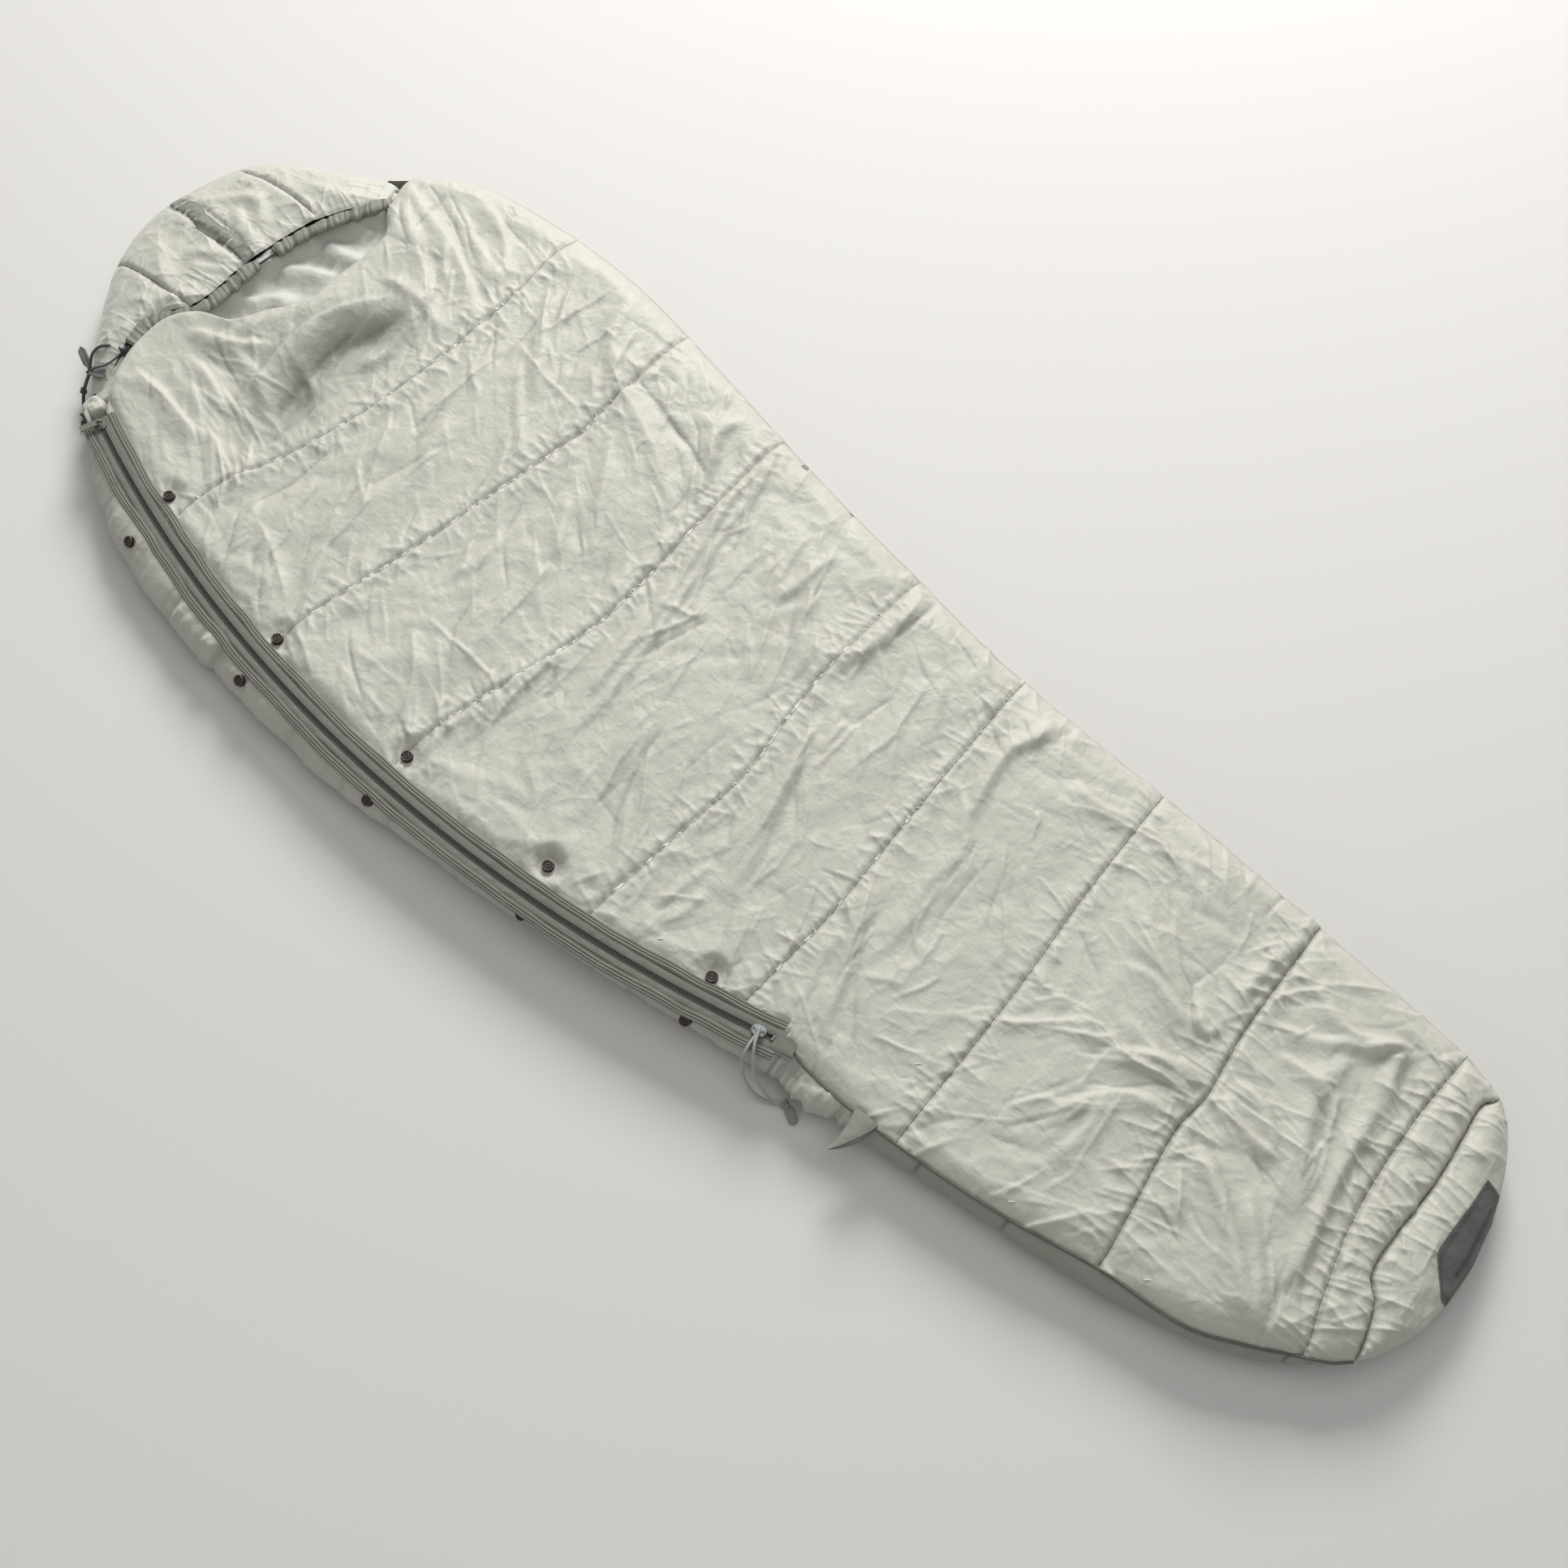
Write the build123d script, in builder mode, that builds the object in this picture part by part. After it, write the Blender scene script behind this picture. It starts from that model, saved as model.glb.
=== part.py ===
"""Mummy sleeping bag laid flat: quilted bottom, top and hood, two-way side zipper, draw cords and snaps.

Frame, in millimetres: +X from head to foot, -Y is the zipper side, +Z up. The bag lies on z = 0 and the
origin is under the middle of its length and width.
"""

import os
from math import asin, cos, hypot, pi, radians, sin, sqrt

from build123d import *

os.makedirs("parts", exist_ok=True)

# ---- Driving dimensions ----

HEIGHT = 76.0  # top of the upper quilt above the ground
SHELL_T = 0.8  # nylon shell, thicker than the real cloth so that it makes a solid
LINING_T = 0.8
BATTING_T = 18.0
LAYER_GAP = 0.2  # clearance between one layer and the next
SEAM_Z = 40.0  # height of the seam between bottom and top panels round the sides
SEAM_GAP = 0.5

SPINE_HEAD_X = -850.0  # the layers shrink towards this line down the middle of the bag
SPINE_FOOT_X = 800.0

# The profile of the side and crown: height, and how far in from the widest outline.
PROFILE = [(0, 30), (14, 6), (28, 0), (44, 2), (52, 10), (57, 90), (HEIGHT, 145)]

# The widest outline: near side from head to foot, then round the foot and back up the far side.
OUTLINE = [
    (-1092, 8), (-1060, -76), (-982, -170), (-882, -258), (-774, -334), (-622, -379), (-419, -396),
    (-317, -399), (-215, -396), (-12, -371), (192, -338), (395, -298), (598, -267), (802, -232),
    (954, -185), (1046, -114), (1086, -43), (1094, 20), (1090, 66), (1070, 150), (1034, 216),
    (985, 241), (903, 253), (598, 269), (293, 278), (90, 303), (-113, 332), (-317, 369),
    (-520, 397), (-724, 386), (-825, 352), (-902, 285), (-978, 236), (-1029, 206), (-1069, 160),
    (-1091, 80),
]

# Zipper: its track is one flat arc, so that a slider runs along it by turning about the arc's centre.
ZIP_CX = -225.0
ZIP_CY = 1726.0
ZIP_R = 2083.0
ZIP_HEAD_X = -850.0
ZIP_FOOT_X = 384.0
ZIP_GAP = 14.0  # half the gap between the two quilts
TAPE_Z = 58.0
TAPE_T = 0.9
TAPE_IN = 3.2
TAPE_OUT = 21.0
COIL_Z = TAPE_Z - 0.2
COIL_T = 2.6
COIL_IN = 0.15
BINDING_IN = 15.0
BINDING_OUT = 23.0
BINDING_T = 1.4
PATCH_X = 410.0

# Sliders, and the bail over each.
LOWER_SLIDER_X = 365.0
UPPER_SLIDER_X = -838.0
SLIDER_L = 17.0
SLIDER_W = 12.5
SLIDER_PLATE_T = 1.6
SLIDER_TOP_Z = COIL_Z + COIL_T + 0.4
SLIDER_LOW_Z = TAPE_Z - 2.0
BAIL_W = 2.0
BAIL_OPEN = 5.8
BAIL_RUN = 6.0
BAIL_Z = SLIDER_TOP_Z + 2.8
BAR_Z = BAIL_Z + BAIL_OPEN / 2 + 0.8

# The lower slider's cord loop: along the track towards the foot, outwards from it, and height.
PULL_ROUTE = [(54, 52, 5.5), (40, 59, 4.5), (23, 62, 8), (6, 58, 19), (-6, 50, 34), (-9, 41, 50),
              (-7, 31, 61.8), (-3, 18, 64.8), (0, 7, 64.5), (0, -3.2, 64.3), (0.6, -3.2, 70.4),
              (2, 8, 70.6), (4, 19, 68.5), (8, 30, 63), (12, 39, 50), (19, 46, 34), (31, 51, 19),
              (44, 54, 9), (56, 50, 6)]
PULL_CORD_D = 3.0
PULL_KNOT = (57, 50, 5.6)
PULL_KNOT_R = 4.2
PULL_END_L = 22.0
PULL_END_W = 11.0
PULL_END_T = 5.0
PULL_END_Z = 1.0

# The upper slider's metal tab.
TAB_L = 24.0
TAB_W = 8.0
TAB_T = 1.6

# Side seam from the zipper's end to the foot.
SIDE_SEAM = [(392, -257), (430, -266), (500, -266), (598, -256), (700, -239), (800, -214),
             (900, -199), (960, -170), (1002, -144), (1044, -119), (1130, -80)]

# The folded tab on the side seam.
TAB_ROOT_X = (500, 536)
TAB_TIP = (509, -314)
SIDE_TAB_Z = 60.0

# Face opening: edge of the hood and edge of the neck, each from far side to near side.
HOOD_EDGE = [(-900, 420), (-884, 300), (-868, 238), (-900, 140), (-907, 40), (-902, -50),
             (-934, -112), (-924, -165), (-965, -330)]
NECK_EDGE = [(-872, 420), (-862, 300), (-842, 240), (-806, 180), (-798, 90), (-812, 10),
             (-858, -50), (-908, -108), (-897, -165), (-930, -330)]

BOTTOM_PANEL_Z = 14.0  # the side band starts here
BAND_BATTING_Z = 19.2  # the side band's batting stands on the bottom batting
BAND_SEAMS_X = (-1040.0, -850.0, 960.0)  # and is parted at these cross seams
FOOT_SEAM_X = 1012.0

# Hood drawcord: it runs in a sewn channel beside the hood's edge.
CHANNEL_D = 9.0
CHANNEL_BORE = 5.0
DRAWCORD_D = 3.0
CHANNEL_ROUTE = [(-856, 236, 60), (-888, 140, 62), (-895, 40, 65), (-890, -50, 66), (-922, -110, 65),
                 (-912, -158, 64)]
# Its free end: through the cord lock, round to the knot.
FREE_ROUTE = [(-912, -158, 64), (-906, -198, 64), (-923, -212, 59), (-936, -216, 45)]
TAPE_ROUTE = [(-925, -170, 60), (-936, -179, 66), (-945, -194, 62), (-943, -208, 52), (-938, -216, 42)]
TAIL_ROUTE = [(-938, -218, 40), (-941, -231, 25), (-937, -244, 12), (-925, -255, 4.5), (-909, -267, 3.2)]
TAPE_D = 4.0
TAIL_D = 4.0
KNOT_AT = (-938, -216, 40)
KNOT_R = 6.5
TAIL_KNOTS = [(-940, -238, 18), (-918, -260, 4.2), (-906, -269, 4.2)]
TAIL_KNOT_R = 3.9
LEAVES = [((-943, -214, 40), (-973, -203, 47)), ((-932, -214, 44), (-899, -205, 58))]

# Snaps: the two rows, each from head to foot, and one snap's sizes.
UPPER_SNAPS = [(-682, -274), (-415, -315), (-176, -313), (50, -295), (283, -262)]
LOWER_SNAPS = [(-668, -350), (-407, -382), (-170, -381), (67, -354), (293, -315)]
LOWER_TILTS = (32, 32, 32, 45, 45)  # degrees outwards; the lower row sits where the side falls away
SNAP_RAISE = 0.6
SNAP_BASE_R = 7.5
SNAP_BASE_T = 1.8
STUD_R = 3.3
STUD_L = 3.4
POST_R = 2.0
POST_L = 4.0

# Cord lock, upright on the shoulder.
LOCK_R = 5.5
LOCK_Z = 56.5
LOCK_H = 14.5
LOCK_BORE_R = 3.2
LOCK_FLOOR_Z = 57.6
PLUNGER_R = 2.9
PLUNGER_Z = 61.2
PLUNGER_H = 13.0
LOCK_ALONG = 11.0  # distance along the free cord from the channel's end
PLUNGER_TRAVEL = 2.5
SPRING_R = 1.9
SPRING_WIRE_R = 0.18
SPRING_H = PLUNGER_Z - LOCK_FLOOR_Z - 2 * SPRING_WIRE_R - 0.1


# ---- Helpers ----


def toward_spine(point, distance):
    """The outline's point moved in by a distance, towards the line down the middle."""
    x, y = point
    cx = min(max(x, SPINE_HEAD_X), SPINE_FOOT_X)
    share = distance / hypot(x - cx, y)
    return (x + (cx - x) * share, y - y * share)


def pillow(depth):
    """The bag's whole outer form with every surface moved in by a depth, as one closed solid."""
    squeeze = (HEIGHT - 2 * depth) / HEIGHT
    with BuildPart() as body:
        for z, inset in PROFILE:
            with BuildSketch(Plane.XY.offset(depth + z * squeeze)):
                with BuildLine():
                    Polyline(*[toward_spine(p, inset + 1.25 * depth) for p in OUTLINE], close=True)
                make_face()
        loft(ruled=True)
    return body.part


def track_point(x, radius=ZIP_R):
    """Point at x on a circle about the zipper's centre."""
    return (x, ZIP_CY - sqrt(radius**2 - (x - ZIP_CX) ** 2))


def surface_height(x, y):
    """Height of the bag's top surface over a point, from the profile."""
    cx = min(max(x, SPINE_HEAD_X), SPINE_FOOT_X)
    reach = hypot(x - cx, y)
    ux, uy = (x - cx) / reach, y / reach
    edge = 0.0
    for (ax, ay), (bx, by) in zip(OUTLINE, OUTLINE[1:] + OUTLINE[:1]):
        across = ux * (by - ay) - uy * (bx - ax)
        if across:
            along = ((ax - cx) * (by - ay) - ay * (bx - ax)) / across
            share = ((ax - cx) * uy - ay * ux) / across
            if along > 0 and 0 <= share <= 1:
                edge = max(edge, along)
    inset = edge - reach
    for (z0, in0), (z1, in1) in zip(PROFILE[3:], PROFILE[4:]):
        if inset <= in1:
            return z0 + (z1 - z0) * max(0.0, inset - in0) / (in1 - in0)
    return HEIGHT


def arc_strip(r_in, r_out, x0, x1, z, thickness):
    """A flat strip that follows the zipper between two radii."""
    with BuildPart() as strip:
        with BuildSketch(Plane.XY.offset(z)):
            with BuildLine():
                inner = ThreePointArc(track_point(x0, r_in), track_point((x0 + x1) / 2, r_in),
                                      track_point(x1, r_in))
                outer = ThreePointArc(track_point(x0, r_out), track_point((x0 + x1) / 2, r_out),
                                      track_point(x1, r_out))
                Line(inner @ 0, outer @ 0)
                Line(inner @ 1, outer @ 1)
            make_face()
        extrude(amount=thickness)
    return strip.part


def corner_radii(points):
    """The largest tangent arc that each corner's two runs allow."""
    vectors = [Vector(*p) for p in points]
    radii = []
    for before, here, after in zip(vectors, vectors[1:], vectors[2:]):
        run_in = here - before
        run_out = after - here
        half_turn = radians(run_in.get_angle(run_out)) / 2
        radii.append(0.45 * min(run_in.length, run_out.length) * cos(half_turn) / sin(half_turn))
    return radii


def cord(name, points, diameter, bore=0.0):
    """A round cord or casing along straight runs joined by tangent arcs."""
    radii = corner_radii(points)
    with BuildPart() as tube:
        with BuildLine() as path:
            FilletPolyline(*points, radius=radii)
        start = path.wires()[0]
        with BuildSketch(Plane(start @ 0, z_dir=start % 0)):
            Circle(diameter / 2)
            if bore:
                Circle(bore / 2, mode=Mode.SUBTRACT)
        sweep()
    section = pi / 4 * (diameter**2 - bore**2)
    print(name, "radii", [round(r, 1) for r in radii], "length", round(start.length, 1),
          "volume share", round(tube.part.volume / (section * start.length), 4))
    return tube.part


def region(points, floor_z):
    """A tall prism over a plan outline used only to divide the layers."""
    with BuildPart() as prism:
        with BuildSketch(Plane.XY.offset(floor_z)):
            with BuildLine():
                Polyline(*points, close=True)
            make_face()
        extrude(amount=120)
    return prism.part


def box_between(low, high):
    """A box from its lowest to its highest corner, used only to divide the layers."""
    size = [b - a for a, b in zip(low, high)]
    return Pos(*low) * Box(*size, align=(Align.MIN, Align.MIN, Align.MIN))


def write(part, name):
    """Labels a finished piece and writes its file."""
    part.label = name
    export_step(part, f"parts/{name}.step")


# ---- Quilts: shell, batting and lining of the bottom, top and hood ----

track_xs = [ZIP_HEAD_X + (ZIP_FOOT_X + 8 - ZIP_HEAD_X) * i / 16 for i in range(17)]
upper_side = [track_point(x, ZIP_R - ZIP_GAP) for x in track_xs]
lower_side = [track_point(x, ZIP_R + ZIP_GAP) for x in track_xs]
lower_seam = [(x, y - SEAM_GAP) for x, y in SIDE_SEAM]

top_plan = NECK_EDGE + [(-890, -330)] + upper_side + SIDE_SEAM[1:] + [(1200, -60), (1200, 420)]
hood_plan = HOOD_EDGE + [(-1200, -330), (-1200, 420)]
rim_plan = [(-1200, 420), (-1200, -330), (-900, -330)] + lower_side + lower_seam[1:]
rim_plan += [(1200, -60), (1200, 420)]

top_prism = region(top_plan, SEAM_Z + SEAM_GAP)
hood_prism = region(hood_plan, SEAM_Z + SEAM_GAP)
rim_prism = region(rim_plan, SEAM_Z)

LAYERS = {
    "outer_shell": (0.0, SHELL_T),
    "batting": (SHELL_T + LAYER_GAP, SHELL_T + LAYER_GAP + BATTING_T),
    "lining": (SHELL_T + BATTING_T + 2 * LAYER_GAP, SHELL_T + BATTING_T + 2 * LAYER_GAP + LINING_T),
}

for layer, (outside, inside) in LAYERS.items():
    skin = pillow(outside) - pillow(inside)
    bottom = skin - rim_prism
    top = skin & top_prism
    hood = skin & hood_prism
    if layer == "outer_shell":
        band_space = box_between((-1200, -500, BOTTOM_PANEL_Z), (1200, 500, 120))
        write(bottom & band_space, "side_band_shell")
        bottom = bottom - band_space
        foot_space = box_between((FOOT_SEAM_X, -400, SEAM_Z), (1200, 400, 120))
        write(top & foot_space, "foot_end_shell")
        top = top - box_between((FOOT_SEAM_X - SEAM_GAP, -400, SEAM_Z), (1200, 400, 120))
    if layer == "batting":
        band = bottom & box_between((-1200, -500, BAND_BATTING_Z), (1200, 500, 120))
        for seam_x in BAND_SEAMS_X:
            band = band - box_between((seam_x - SEAM_GAP, -500, 0), (seam_x + SEAM_GAP, 500, 120))
        write(band, "side_band_batting")
        bottom = bottom - box_between((-1200, -500, BAND_BATTING_Z - LAYER_GAP), (1200, 500, 120))
    write(bottom, f"bottom_{layer}")
    write(top, f"top_{layer}")
    write(hood, f"hood_{layer}")

# ---- Patches sewn flat on the shell ----

patch_skin = pillow(-1.4) - pillow(-0.2)
write(patch_skin & box_between((-1120, 34, 41), (-916, 60, 90)), "hood_center_tape")
write(patch_skin & box_between((1030, 22, 8), (1120, 142, 66)), "foot_patch")
write(patch_skin & box_between((-116, 300, 34), (-104, 400, 58)), "far_side_tab")

# ---- Zipper ----

write(arc_strip(ZIP_R - TAPE_OUT, ZIP_R - TAPE_IN, ZIP_HEAD_X, ZIP_FOOT_X, TAPE_Z, TAPE_T),
      "zipper_tape_upper")
write(arc_strip(ZIP_R + TAPE_IN, ZIP_R + TAPE_OUT, ZIP_HEAD_X, ZIP_FOOT_X, TAPE_Z, TAPE_T),
      "zipper_tape_lower")
write(arc_strip(ZIP_R - TAPE_IN + 0.05, ZIP_R - COIL_IN, ZIP_HEAD_X + 3, ZIP_FOOT_X - 3, COIL_Z, COIL_T),
      "zipper_coil_upper")
write(arc_strip(ZIP_R + COIL_IN, ZIP_R + TAPE_IN - 0.05, ZIP_HEAD_X + 3, ZIP_FOOT_X - 3, COIL_Z, COIL_T),
      "zipper_coil_lower")
binding_z = TAPE_Z + TAPE_T + 0.2
write(arc_strip(ZIP_R - BINDING_OUT, ZIP_R - BINDING_IN, ZIP_HEAD_X, ZIP_FOOT_X + 6, binding_z, BINDING_T),
      "zipper_binding_upper")
write(arc_strip(ZIP_R + BINDING_IN, ZIP_R + BINDING_OUT, ZIP_HEAD_X, ZIP_FOOT_X + 6, binding_z, BINDING_T),
      "zipper_binding_lower")
write(arc_strip(ZIP_R - ZIP_GAP + 2, ZIP_R + ZIP_GAP - 2, ZIP_HEAD_X + 4, ZIP_FOOT_X, 42, 11), "draft_tube")
write(arc_strip(ZIP_R - 15, ZIP_R + 15, ZIP_FOOT_X + 1, PATCH_X, TAPE_Z, 1.6), "zipper_end_patch")
write(arc_strip(ZIP_R - 3.4, ZIP_R + 3.4, ZIP_FOOT_X - 2.8, ZIP_FOOT_X - 0.2, TAPE_Z + TAPE_T + 0.1, 2.0),
      "zipper_bottom_stop")


def slider_frame(x):
    """Plane at a point of the track: local X runs towards the foot, local Y towards the arc's centre."""
    turn = asin((x - ZIP_CX) / ZIP_R)
    return Plane((*track_point(x), 0), x_dir=(cos(turn), sin(turn), 0), z_dir=(0, 0, 1))


def slider(x):
    """Slider body: a plate under the tapes, a plate over the coils, side flanges and the bail."""
    frame = slider_frame(x)
    flange_z = TAPE_Z + TAPE_T + 0.3
    upright = Plane(frame.origin, x_dir=frame.x_dir, z_dir=-frame.y_dir)
    with BuildPart() as body:
        with BuildSketch(frame.offset(SLIDER_LOW_Z)):
            SlotOverall(SLIDER_L, SLIDER_W)
        extrude(amount=SLIDER_PLATE_T)
        with BuildSketch(frame.offset(SLIDER_TOP_Z)):
            SlotOverall(SLIDER_L, SLIDER_W)
        extrude(amount=SLIDER_PLATE_T)
        with BuildSketch(frame.offset(flange_z)):
            with Locations((0, SLIDER_W / 2 - 0.9), (0, 0.9 - SLIDER_W / 2)):
                Rectangle(SLIDER_L * 0.55, 1.6)
        extrude(amount=SLIDER_TOP_Z - flange_z + 0.5)
        with BuildSketch(frame.offset(SLIDER_LOW_Z + 0.5)):
            Rectangle(2.0, 2 * COIL_IN - 0.1)
        extrude(amount=SLIDER_TOP_Z - SLIDER_LOW_Z)
        with BuildSketch(upright.offset(-BAIL_W / 2)):
            with Locations((0, BAIL_Z)):
                SlotCenterToCenter(BAIL_RUN, BAIL_OPEN + 3.2)
                SlotCenterToCenter(BAIL_RUN, BAIL_OPEN, mode=Mode.SUBTRACT)
            with Locations((0, SLIDER_TOP_Z + 1.0 - 10)):
                Rectangle(40, 20, mode=Mode.SUBTRACT)
        extrude(amount=BAIL_W)
    return body.part


write(slider(LOWER_SLIDER_X), "lower_slider")
write(slider(UPPER_SLIDER_X), "upper_slider")

# ---- Pulls: a cord loop with a moulded end on the lower slider, a metal tab on the upper one ----


def from_slider(x, along, outward, z):
    """A point given along and outwards from a slider."""
    frame = slider_frame(x)
    place = frame.origin + frame.x_dir * along - frame.y_dir * outward
    return (place.X, place.Y, z)


write(cord("lower_pull_cord", [from_slider(LOWER_SLIDER_X, *p) for p in PULL_ROUTE], PULL_CORD_D),
      "lower_pull_cord")
with BuildPart() as lower_pull_knot:
    with Locations(from_slider(LOWER_SLIDER_X, *PULL_KNOT)):
        Sphere(PULL_KNOT_R)
write(lower_pull_knot.part, "lower_pull_knot")
end_x, end_y, end_z = from_slider(LOWER_SLIDER_X, PULL_KNOT[0] + PULL_KNOT_R - 0.5, PULL_KNOT[1], PULL_END_Z)
with BuildPart() as lower_pull_end:
    with BuildSketch(Plane((end_x, end_y, end_z), x_dir=(0.9, -0.44, 0), z_dir=(0, 0, 1))):
        with Locations((PULL_END_L / 2, 0)):
            SlotOverall(PULL_END_L, PULL_END_W)
    extrude(amount=PULL_END_T)
    fillet(lower_pull_end.edges().group_by(Axis.Z)[-1], 1.5)
write(lower_pull_end.part, "lower_pull_end")

upper_frame = slider_frame(UPPER_SLIDER_X)
across = Plane((*track_point(UPPER_SLIDER_X), BAR_Z), x_dir=-upper_frame.y_dir, z_dir=-upper_frame.x_dir)
with BuildPart() as upper_pull_tab:
    with BuildSketch(across.offset(-1.25)):
        Circle(3.4)
        Circle(1.75, mode=Mode.SUBTRACT)
    extrude(amount=2.5)
    with BuildSketch(across.offset(-TAB_W / 2)):
        with Locations((TAB_L / 2 + 2.6, 0)):
            Rectangle(TAB_L, TAB_T)
    extrude(amount=TAB_W)
write(upper_pull_tab.part, "upper_pull_tab")

# ---- Side seam piping and the folded side tab ----

piping = [(x, y - 2, surface_height(x, y) + 3.2) for x, y in SIDE_SEAM[1:-1]]
write(cord("side_seam_piping", piping, 3.6), "side_seam_piping")

with BuildPart() as side_tab:
    with BuildSketch(Plane.XY.offset(SIDE_TAB_Z)):
        with BuildLine():
            root = Line((TAB_ROOT_X[0], -262), (TAB_ROOT_X[1], -258))
            far_edge = ThreePointArc(root @ 1, (531, -290), TAB_TIP)
            Line(far_edge @ 1, root @ 0)
        make_face()
    extrude(amount=2.4)
write(side_tab.part, "side_tab")

# ---- Neck piping, hood channel and drawcord ----

neck_route = [(x - 4, y, 64) for x, y in NECK_EDGE[2:9]]
write(cord("neck_edge_piping", neck_route, 5.0), "neck_edge_piping")
write(cord("hood_drawcord_channel", CHANNEL_ROUTE, CHANNEL_D, CHANNEL_BORE), "hood_drawcord_channel")
write(cord("hood_drawcord", CHANNEL_ROUTE, DRAWCORD_D), "hood_drawcord")
write(cord("drawcord_free", FREE_ROUTE, DRAWCORD_D), "drawcord_free")
write(cord("draw_tape_loop", TAPE_ROUTE, TAPE_D), "draw_tape_loop")
write(cord("draw_tape_tail", TAIL_ROUTE, TAIL_D), "draw_tape_tail")

with BuildPart() as draw_tape_knot:
    with Locations(KNOT_AT):
        Sphere(KNOT_R)
write(draw_tape_knot.part, "draw_tape_knot")

with BuildPart() as tail_knots:
    with Locations(*TAIL_KNOTS):
        Sphere(TAIL_KNOT_R)
write(tail_knots.part, "draw_tape_tail_knots")

with BuildPart() as draw_tape_ends:
    for root_at, tip_at in LEAVES:
        run = Vector(*tip_at) - Vector(*root_at)
        with BuildSketch(Plane(root_at, x_dir=run, z_dir=(run.X * run.Z, run.Y * run.Z, -(run.X**2 + run.Y**2)))):
            with BuildLine():
                Polyline((0, -2), (run.length * 0.5, -5), (run.length, 0), (run.length * 0.5, 4), (0, 2),
                         close=True)
            make_face()
        extrude(amount=1.2)
write(draw_tape_ends.part, "draw_tape_ends")

# ---- Cord lock: barrel, plunger and spring ----

cord_run = Vector(*FREE_ROUTE[1]) - Vector(*FREE_ROUTE[0])
cord_way = cord_run.normalized()
lock_at = Vector(*FREE_ROUTE[0]) + cord_way * LOCK_ALONG
cross = Plane(lock_at, z_dir=cord_way)
with BuildPart() as cord_lock_barrel:
    with BuildSketch(Plane((lock_at.X, lock_at.Y, LOCK_Z))):
        Circle(LOCK_R)
    extrude(amount=LOCK_H)
    with BuildSketch(Plane((lock_at.X, lock_at.Y, LOCK_FLOOR_Z))):
        Circle(LOCK_BORE_R)
    extrude(amount=LOCK_H, mode=Mode.SUBTRACT)
    with BuildSketch(cross):
        Circle(DRAWCORD_D / 2 + 0.5)
    extrude(amount=LOCK_R + 1, both=True, mode=Mode.SUBTRACT)
write(cord_lock_barrel.part, "cord_lock_barrel")

with BuildPart() as cord_lock_plunger:
    with BuildSketch(Plane((lock_at.X, lock_at.Y, PLUNGER_Z))):
        Circle(PLUNGER_R)
    extrude(amount=PLUNGER_H)
    with BuildSketch(Plane(lock_at, x_dir=(0, 0, 1), z_dir=cord_way)):
        with Locations((PLUNGER_TRAVEL / 2 + 0.4, 0)):
            SlotCenterToCenter(PLUNGER_TRAVEL + 0.1, DRAWCORD_D + 0.8)
    extrude(amount=PLUNGER_R + 1, both=True, mode=Mode.SUBTRACT)
write(cord_lock_plunger.part, "cord_lock_plunger")

with BuildPart() as cord_lock_spring:
    with BuildLine() as coil:
        Helix(pitch=SPRING_H / 3, height=SPRING_H, radius=SPRING_R,
              center=(lock_at.X, lock_at.Y, LOCK_FLOOR_Z + SPRING_WIRE_R + 0.05))
    with BuildSketch(Plane(coil.line @ 0, z_dir=coil.line % 0)):
        Circle(SPRING_WIRE_R)
    sweep()
write(cord_lock_spring.part, "cord_lock_spring")

# ---- Snaps: a base disc and stud outside, a post and washer through the cloth ----


def snap_plane(x, y, tilt):
    """Plane of a snap's base on the cloth, leaning outwards from the zipper's centre by a tilt."""
    outward = Vector(x - ZIP_CX, y - ZIP_CY, 0).normalized()
    lean = radians(tilt)
    normal = outward * sin(lean) + Vector(0, 0, 1) * cos(lean)
    return Plane((x, y, surface_height(x, y) + SNAP_RAISE), z_dir=normal)


def snap_row(places, tilts):
    """Studs on their base discs, and the posts behind them, for one row of snaps."""
    bases = [snap_plane(x, y, tilt) for (x, y), tilt in zip(places, tilts)]
    with BuildPart() as studs:
        for base in bases:
            with BuildSketch(base):
                Circle(SNAP_BASE_R)
            extrude(amount=SNAP_BASE_T)
            with BuildSketch(base.offset(SNAP_BASE_T)):
                Circle(STUD_R)
            extrude(amount=STUD_L)
            middle = base.offset(SNAP_BASE_T + STUD_L / 2)
            print("snap stud", [round(v, 3) for v in middle.origin], [round(v, 5) for v in middle.z_dir])
    with BuildPart() as posts:
        for base in bases:
            with BuildSketch(base.offset(-POST_L)):
                Circle(POST_R)
            extrude(amount=POST_L)
            with BuildSketch(base.offset(-POST_L)):
                Circle(SNAP_BASE_R - 1.5)
            extrude(amount=0.8)
    return studs.part, posts.part


for row, places, tilts in [("upper", UPPER_SNAPS, (0,) * 5), ("lower", LOWER_SNAPS, LOWER_TILTS)]:
    studs, posts = snap_row(places, tilts)
    write(studs, f"{row}_snap_studs")
    write(posts, f"{row}_snap_posts")
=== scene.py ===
"""Mummy sleeping bag laid flat: quilted cloth, zipper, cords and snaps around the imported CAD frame.

Plan work is in millimetres, with +X from head to foot, -Y the zipper side and +Z up, and becomes metres in
mesh_object().
"""

import math

import bpy
import numpy as np
from mathutils import Matrix, Vector
from mathutils.bvhtree import BVHTree


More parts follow.
